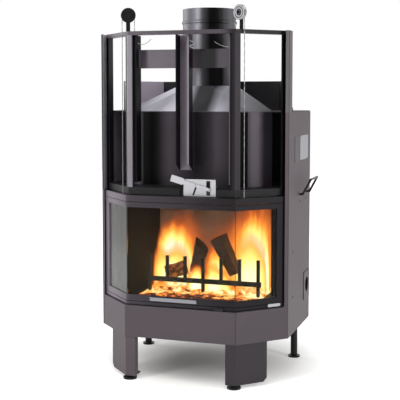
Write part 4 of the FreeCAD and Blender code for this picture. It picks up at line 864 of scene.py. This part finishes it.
def ember_bed():
    """Thin layer of lumps by the retainer, which a smooth step in depth lifts to a heap behind it."""
    u, v = np.meshgrid(np.linspace(-1, 1, 220), np.linspace(-1, 1, 90))
    x = BED_HALF * u
    y = (EMBER_FRONT + EMBER_BACK) / 2 + (EMBER_BACK - EMBER_FRONT) / 2 * v
    edge = np.clip(1 - np.maximum(np.abs(u), np.abs(v)) ** 8, 0, 1)
    lumps = 0.5 + 0.3 * ripple(x * 90, y * 90, 3) + 0.2 * ripple(x * 260, y * 260, 5)
    step = np.clip((y - HEAP_START) / HEAP_SPAN, 0, 1)
    heap = step * step * (3 - 2 * step)
    z = HEARTH_TOP + BED_GAP + edge * (LAYER + LAYER_LUMPS * lumps + heap * (HEAP + HEAP_LUMPS * lumps))
    return surface("ember_bed", np.stack([x, y, z], -1), embers, "body")


print("ember bed", ember_bed().dimensions[:])

# %% Log shape
BARK_HALF = 1.1
WEDGE_TIP = (-0.15, 0)
LOG_HEART = (0.45, 0)
BARK_STEPS, FACE_STEPS, LOG_STEPS = 36, 14, 60
KNOTS, SWELLING = 0.07, 0.04


def log_outline(radius, roll):
    """Outline of a split log: an arc of bark, then two straight faces that meet in the wedge's tip."""
    arc = np.linspace(-BARK_HALF, BARK_HALF, BARK_STEPS)
    bark = np.stack([np.cos(arc), np.sin(arc)], -1)
    outline = np.concatenate([bark, np.linspace(bark[-1], WEDGE_TIP, FACE_STEPS)[1:],
                              np.linspace(WEDGE_TIP, bark[0], FACE_STEPS)[1:-1]])
    turn = np.array([[np.cos(roll), -np.sin(roll)], [np.sin(roll), np.cos(roll)]])
    return (outline - LOG_HEART) @ turn.T * radius


def split_log(name, foot, head, radius, roll, seed, taper, slant, finish):
    """The outline carried from foot to head, roughened by ripples.

    It narrows to its foot by the taper, and its head is cut at a slant.
    """
    foot, head = np.array(foot), np.array(head)
    axis = (head - foot) / np.linalg.norm(head - foot)
    side = np.cross(axis, (0, 1, 0))
    side /= np.linalg.norm(side)
    face = np.cross(side, axis)
    outline = log_outline(radius, roll)
    t = np.linspace(0, 1, LOG_STEPS)[:, None]
    around = np.linspace(0, 2 * np.pi, len(outline), endpoint=False)[None, :]
    knots = KNOTS * ripple(t * 9, 2 * np.cos(around), seed)
    rough = 1 + knots + SWELLING * ripple(t * 3, around, seed + 1)
    rough = rough * (taper + (1 - taper) * t)
    spine = foot + t * (head - foot)
    section = outline[None, :, :1] * side + outline[None, :, 1:] * face
    points = spine[:, None, :] + section * rough[..., None]
    points = points + (slant * t ** 3 * outline[None, :, 0])[..., None] * axis
    return surface(name, points, finish, "body", closed=True, smooth=False)


print("log outline of", len(log_outline(1.0, 0.0)), "points")

# %% Logs
# Name, foot and head above the hearth, radius, roll, seed, taper, slant and finish.
LOGS = [
    ("log_standing_left", (-0.052, -0.03, 0.085), (-0.019, -0.05, 0.2), 0.051, 2.2, 11, 0.85, 0.4, charred),
    ("log_standing_right", (0.124, -0.03, 0.085), (0.056, -0.05, 0.236), 0.047, 0.9, 23, 0.65, 0.0, charred),
    ("log_lying_left", (-0.175, -0.05, 0.075), (-0.09, -0.03, 0.1), 0.036, 1.4, 31, 0.9, 0.0, glowing),
    ("log_lying_back", (-0.2, 0.075, 0.05), (0.2, 0.07, 0.06), 0.042, 0.4, 47, 1.0, 0.0, glowing),
]
for name, foot, head, *shape in LOGS:
    made = split_log(name, np.add(foot, (0, 0, HEARTH_TOP)), np.add(head, (0, 0, HEARTH_TOP)), *shape)
    print(made.name, np.round(made.dimensions[:], 3))

# %% [markdown]
# ## Flames
# A flame is thin, bright in its heart and ragged at its rim. It could be a volume of smoke, but that
# renders slowly and doesn't travel to other programs. Instead a few upright sheets at different depths
# carry a heat value at each point. The material turns heat into colour and into how much can be seen
# through.

# %% Flame finish
HEAT = "flame_heat"
FLAME_COVER = (0.02, 0.6)
FLAME_STOPS = ((0.0, (0.25, 0.03, 0.006, 1)), (0.25, (0.72, 0.13, 0.02, 1)), (0.5, (1.0, 0.37, 0.045, 1)),
               (0.72, (1.0, 0.74, 0.2, 1)), (0.92, (1.0, 0.93, 0.6, 1)))


def make_flame_finish():
    """Heat to colour and cover: red at the rim, orange, then yellow and near white in the heart."""
    made, tree, shader, place = new_material("flame", Roughness=1.0, Emission_Strength=1.5,
                                             Base_Color=(0, 0, 0, 1), Specular_IOR_Level=0.0)
    heat = node(tree, "ShaderNodeAttribute", attribute_name=HEAT).outputs["Fac"]
    feed(tree, shader.inputs["Emission Color"], colour_ramp(tree, heat, FLAME_STOPS))
    feed(tree, shader.inputs["Alpha"], remap(tree, heat, *FLAME_COVER))
    return made


flame = make_flame_finish()
print("flame finish with", len(FLAME_STOPS), "stops")

# %% Flame sheets
SHEET_HALF = 0.257
SHEET_LOW, SHEET_HIGH = 0.012, 0.4
SHEET_RIM = 0.015
SWAY, WAVER = 0.022, 0.012
STREAK = 0.09
NARROWING, NARROWEST = 0.4, 0.35
FALL = 2.6


def flame_sheet(name, depth, tongues, seed):
    """Upright sheet whose heat is a sum over tongues of exp(-|offset / width|^3) times a falling curve.

    The curve falls with the height, and so does the width. Ripples that grow with the height push the
    offset to and fro, and ripples that are quick across and slow upwards draw the streaks.
    """
    u, w = np.meshgrid(np.linspace(-SHEET_HALF, SHEET_HALF, 180), np.linspace(SHEET_LOW, SHEET_HIGH, 130))
    heat = np.zeros_like(u)
    for number, (centre, width, height, power) in enumerate(tongues):
        rise = w / height
        sway = SWAY * rise * ripple(w * 12, u * 16, seed + number)
        streak = 1 + STREAK * ripple(u * 110, w * 10, seed + 40 + number)
        narrow = width * (1.0 - NARROWING * rise ** 2).clip(NARROWEST)
        fall = np.clip(1 - (rise * streak) ** FALL, 0, 1)
        heat += power * np.exp(-np.abs((u - centre + sway) / narrow) ** 3) * fall * (0.85 + 0.15 * streak)
    edge = np.clip((SHEET_HALF - np.abs(u)) / SHEET_RIM, 0, 1)
    heat = np.clip(heat * edge, 0, 1.0)
    y = depth + WAVER * ripple(u * 16, w * 10, seed + 90)
    piece = surface(name, np.stack([u, y, HEARTH_TOP + w], -1), flame, "body")
    layer = piece.data.attributes.new(HEAT, "FLOAT", "POINT")
    layer.data.foreach_set("value", heat.ravel().astype(np.float32))
    return heat


print("sheets", 2 * SHEET_HALF, "m wide")

# %% Tongues
# Depth of each sheet, then the centre, width, height and power of its tongues.
TONGUES = {
    "flames_low": (-0.072, [(-0.19, 0.045, 0.055, 0.55), (-0.035, 0.04, 0.13, 1.0), (0.035, 0.03, 0.15, 0.9),
                            (0.09, 0.03, 0.11, 0.8), (0.15, 0.03, 0.07, 0.45), (0.21, 0.03, 0.06, 0.4)]),
    "flames_front": (-0.012, [(-0.2, 0.055, 0.2, 0.8), (-0.12, 0.055, 0.22, 0.8), (0.18, 0.085, 0.27, 0.9),
                              (0.03, 0.045, 0.21, 0.9)]),
    "flames_middle": (0.035, [(-0.16, 0.092, 0.3, 1.25), (0.19, 0.095, 0.34, 1.2), (0.03, 0.06, 0.25, 0.6)]),
    "flames_back": (0.08, [(-0.15, 0.105, 0.35, 0.45), (0.18, 0.11, 0.44, 0.55), (0.06, 0.1, 0.34, 0.3)]),
}
FIRST_SEED, SEED_STEP = 100, 7
for number, (name, (depth, tongues)) in enumerate(TONGUES.items()):
    heat = flame_sheet(name, depth, tongues, FIRST_SEED + SEED_STEP * number)
    print(name, "mean heat", round(float(heat.mean()), 3))

# %% [markdown]
# ## Glow of the fire
# The fire lights the bricks and logs round it. The glowing pieces give out light themselves, but small
# bright spots make grainy light, so two soft lamps in the flames add to it. They don't show themselves.

# %% Glow
GLOW_COLOUR = (1.0, 0.42, 0.12)
GLOW_RADIUS = 0.06
GLOW_LAMPS = {"glow_left": ((-0.15, -0.03, 0.44), 0.7), "glow_right": ((0.18, -0.03, 0.44), 0.9)}
for name, (place, power) in GLOW_LAMPS.items():
    data = bpy.data.lights.new(name, "POINT")
    data.color = GLOW_COLOUR
    data.energy = power
    data.shadow_soft_size = GLOW_RADIUS
    lamp = bpy.data.objects.new(name, data)
    lamp.location = place
    lamp.visible_camera = False
    lamp.visible_glossy = False
    lamp.visible_transmission = False
    scene.collection.objects.link(lamp)
print(len(GLOW_LAMPS), "glow lamps in the firebox")

# %% [markdown]
# ## Plates
# A bare plate and a bare dark strip are fixed to the right side panel, a small plate sits at the foot of
# the door, and a black strip on the damper's plate is painted shade inside its slanted slot. A box with a
# bevel would do.
# Here each is a loop with rounded corners, swept out and drawn in a little at the top edge, so that the
# rim catches the light.

# %% Plate shape
AROUND = np.linspace(0, 2 * np.pi, 96, endpoint=False)


def squarish(half_a, half_b, power=14):
    """Closed loop |a / half_a|^power + |b / half_b|^power = 1."""
    c, s = np.cos(AROUND), np.sin(AROUND)
    reach = (np.abs(c / half_a) ** power + np.abs(s / half_b) ** power) ** (-1 / power)
    return np.stack([reach * c, reach * s], -1)


def thin_plate(name, centre, first, second, half_a, half_b, thick, finish, body):
    """Loop swept outwards through the thickness, then drawn in to a flat top."""
    first, second = np.array(first, float), np.array(second, float)
    outward = np.cross(first, second)
    loop = squarish(half_a, half_b)
    inner = squarish(half_a - thick, half_b - thick)
    rows = [(loop, 0), (loop, 0.6 * thick), (inner, thick), (inner * 0.02, thick)]
    points = np.stack([np.array(centre) + ring[:, :1] * first + ring[:, 1:] * second + rise * outward
                       for ring, rise in rows])
    return surface(name, points, finish, body, closed=True, smooth=False)


print("plate loop of", len(AROUND), "points")

# %% Plates
PANEL_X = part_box("side_panel_right")[1].x
PANEL_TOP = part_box("body_cover")[0].z
DOOR_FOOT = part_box("door_carriage")[0].z
damper_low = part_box("damper_plate")[0]
SHEET = 0.0012
THIN_SHEET = 0.0008
ALONG_Y, ALONG_Z = (0, 1, 0), (0, 0, 1)
FACET_SLOPE = 1 / math.sqrt(2)
ALONG_FACET = (FACET_SLOPE, FACET_SLOPE, 0)
FACET_LEAD = 0.5937
DOOR_PLATE_X = 0.342
SLOT_LEAN = math.radians(20)
SLOT_UP = (math.sin(SLOT_LEAN), 0, math.cos(SLOT_LEAN))
SLOT_SIDE = (math.cos(SLOT_LEAN), 0, -math.sin(SLOT_LEAN))
# Name, centre, two directions, half sizes, thickness, finish and body.
PLATES = [
    ("bare_plate", (PANEL_X, 0.052, PANEL_TOP - 0.145), ALONG_Y, ALONG_Z,
     0.075, 0.049, SHEET, plate_metal, "body"),
    ("bare_strip", (PANEL_X, -0.078, PANEL_TOP - 0.148), ALONG_Y, ALONG_Z,
     0.043, 0.051, SHEET, strip_paint, "body"),
    ("bare_door_plate", (DOOR_PLATE_X, DOOR_PLATE_X - FACET_LEAD, DOOR_FOOT + 0.007), ALONG_FACET, ALONG_Z,
     0.028, 0.006, SHEET, plate_metal, "carriage"),
    # Black strip: painted shade of the slanted slot in the damper's plate.
    ("damper_slot", (damper_low.x + 0.045, damper_low.y, damper_low.z + 0.021), SLOT_SIDE, SLOT_UP,
     0.0035, 0.018, THIN_SHEET, black_paint, "body"),
]
for plate in PLATES:
    made = thin_plate(*plate)
    print(made.name, np.round(made.dimensions[:], 4))

# %% [markdown]
# ## Screw heads
# Small round-headed screws hold the right side panel and the handle, and a bolt stands on the cover. A
# head could be a squashed sphere with its lower half inside the sheet. A quarter of an ellipse, turned
# round its axis, gives the dome alone.

# %% Screws
def screw_head(name, centre, outward, radius, height, finish, body):
    """Dome: radius r cos(t) and height h sin(t) for t from 0 to a quarter turn, round its axis."""
    outward = np.array(outward, float)
    first = np.cross(outward, (0, 0, 1.0) if abs(outward[2]) < 0.9 else (1.0, 0, 0))
    first /= np.linalg.norm(first)
    second = np.cross(outward, first)
    t = np.linspace(0, 0.49 * np.pi, 8)[:, None]
    a = np.linspace(0, 2 * np.pi, 20, endpoint=False)[None, :]
    ring = radius * np.cos(t)
    points = (np.array(centre) + (ring * np.cos(a))[..., None] * first
              + (ring * np.sin(a))[..., None] * second
              + (height * np.sin(t) + 0 * a)[..., None] * outward)
    return surface(name, points, finish, body, closed=True)


UNDER_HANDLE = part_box("handle")[0].z - 0.024
# Y and Z on the side panel.
SCREW_PLACES = [(-0.142, 0.32), (-0.142, 0.498), (-0.02, UNDER_HANDLE), (0.095, UNDER_HANDLE)]
SCREW_RADIUS, SCREW_HEIGHT = 0.0045, 0.0018
BOLT_PLACE = (PANEL_X - 0.008, -0.15, PANEL_TOP + 0.003)
BOLT_RADIUS, BOLT_HEIGHT = 0.007, 0.02
for number, (y, z) in enumerate(SCREW_PLACES):
    screw_head(f"panel_screw_{number}", (PANEL_X, y, z), TO_RIGHT, SCREW_RADIUS, SCREW_HEIGHT,
               black_paint, "body")
screw_head("cover_bolt", BOLT_PLACE, ALONG_Z, BOLT_RADIUS, BOLT_HEIGHT, black_paint, "body")
print(len(SCREW_PLACES), "screws and a bolt")

# %% [markdown]
# ## Seals, hook and wire ends
# A thin black seal closes the joint between two panes. A hook of bent wire is fixed to the centre post,
# and the cut ends of the cables stick out beside the corner posts. Each could be a curve with a bevel,
# but a circle swept along a line by hand keeps its points in order. The seals are straight, the hook
# swings to and fro as a cosine, and the wire ends sag between two points.

# %% Swept wire
def tube(name, path, radius, finish, body):
    """Circle swept along a path: at each point two directions square to the path carry the circle."""
    along = np.gradient(path, axis=0)
    along /= np.linalg.norm(along, axis=1, keepdims=True)
    first = np.cross(along, (0, 1, 0))
    first /= np.linalg.norm(first, axis=1, keepdims=True)
    second = np.cross(along, first)
    angle = np.linspace(0, 2 * np.pi, 14, endpoint=False)[None, :, None]
    circle = np.cos(angle) * first[:, None, :] + np.sin(angle) * second[:, None, :]
    points = path[:, None, :] + radius * circle
    return surface(name, points, finish, body, closed=True)


def sagging(start, end, sag, steps=28):
    """Straight line from start to end, lowered by sag times 4 t (1 - t)."""
    t = np.linspace(0, 1, steps)[:, None]
    drop = np.array([[0, 0, sag]]) * 4 * t * (1 - t)
    return np.array(start) + t * np.subtract(end, start) - drop


print("swept wire ready")

# %% Pane seals
SEAL_RADIUS = 0.0012
SEAL_DEPTH = 0.002
SEAL_STEPS = 12
pane_low, pane_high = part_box("glass_front")
for side, corner in (("left", pane_low.x), ("right", pane_high.x)):
    foot = (corner, pane_low.y + SEAL_DEPTH, pane_low.z)
    head = (corner, pane_low.y + SEAL_DEPTH, pane_high.z)
    tube(f"pane_seal_{side}", np.linspace(foot, head, SEAL_STEPS), SEAL_RADIUS, black_paint, "glazed_door")
print("seals of", round(pane_high.z - pane_low.z, 3), "m between the panes")

# %% Hook
HOOK_RADIUS = 0.0024
HOOK_OUT, HOOK_SWING = 0.0135, 0.011
HOOK_DEPTH = 0.004
HOOK_TOP, HOOK_DROP = 0.022, 0.034
post_low, post_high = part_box("centre_post")
t = np.linspace(0, 1, 40)
hook_line = np.stack([post_high.x + HOOK_OUT - HOOK_SWING * np.cos(3 * np.pi * t),
                      0 * t + post_low.y + HOOK_DEPTH,
                      post_high.z - HOOK_TOP - HOOK_DROP * t], -1)
tube("hook", hook_line, HOOK_RADIUS, pull_metal, "body")
print("hook", HOOK_DROP, "m long")

# %% Wire ends
# Start, tip and sag of each end.
END_RADIUS = 0.0012
END_Y, TIP_Y = -0.335, -0.345
web_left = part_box("corner_post_left")[1].x
web_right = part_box("corner_post_right")[0].x
WIRE_ENDS = {
    "wire_end_left": ((web_left, END_Y, 1.316), (web_left + 0.063, TIP_Y, 1.327), 0.013),
    "wire_end_right": ((web_right, END_Y, 1.293), (web_right - 0.057, TIP_Y, 1.313), 0.005),
}
for name, (start, tip, sag) in WIRE_ENDS.items():
    tube(name, sagging(start, tip, sag), END_RADIUS, wire, "body")
print(len(WIRE_ENDS), "wire ends")
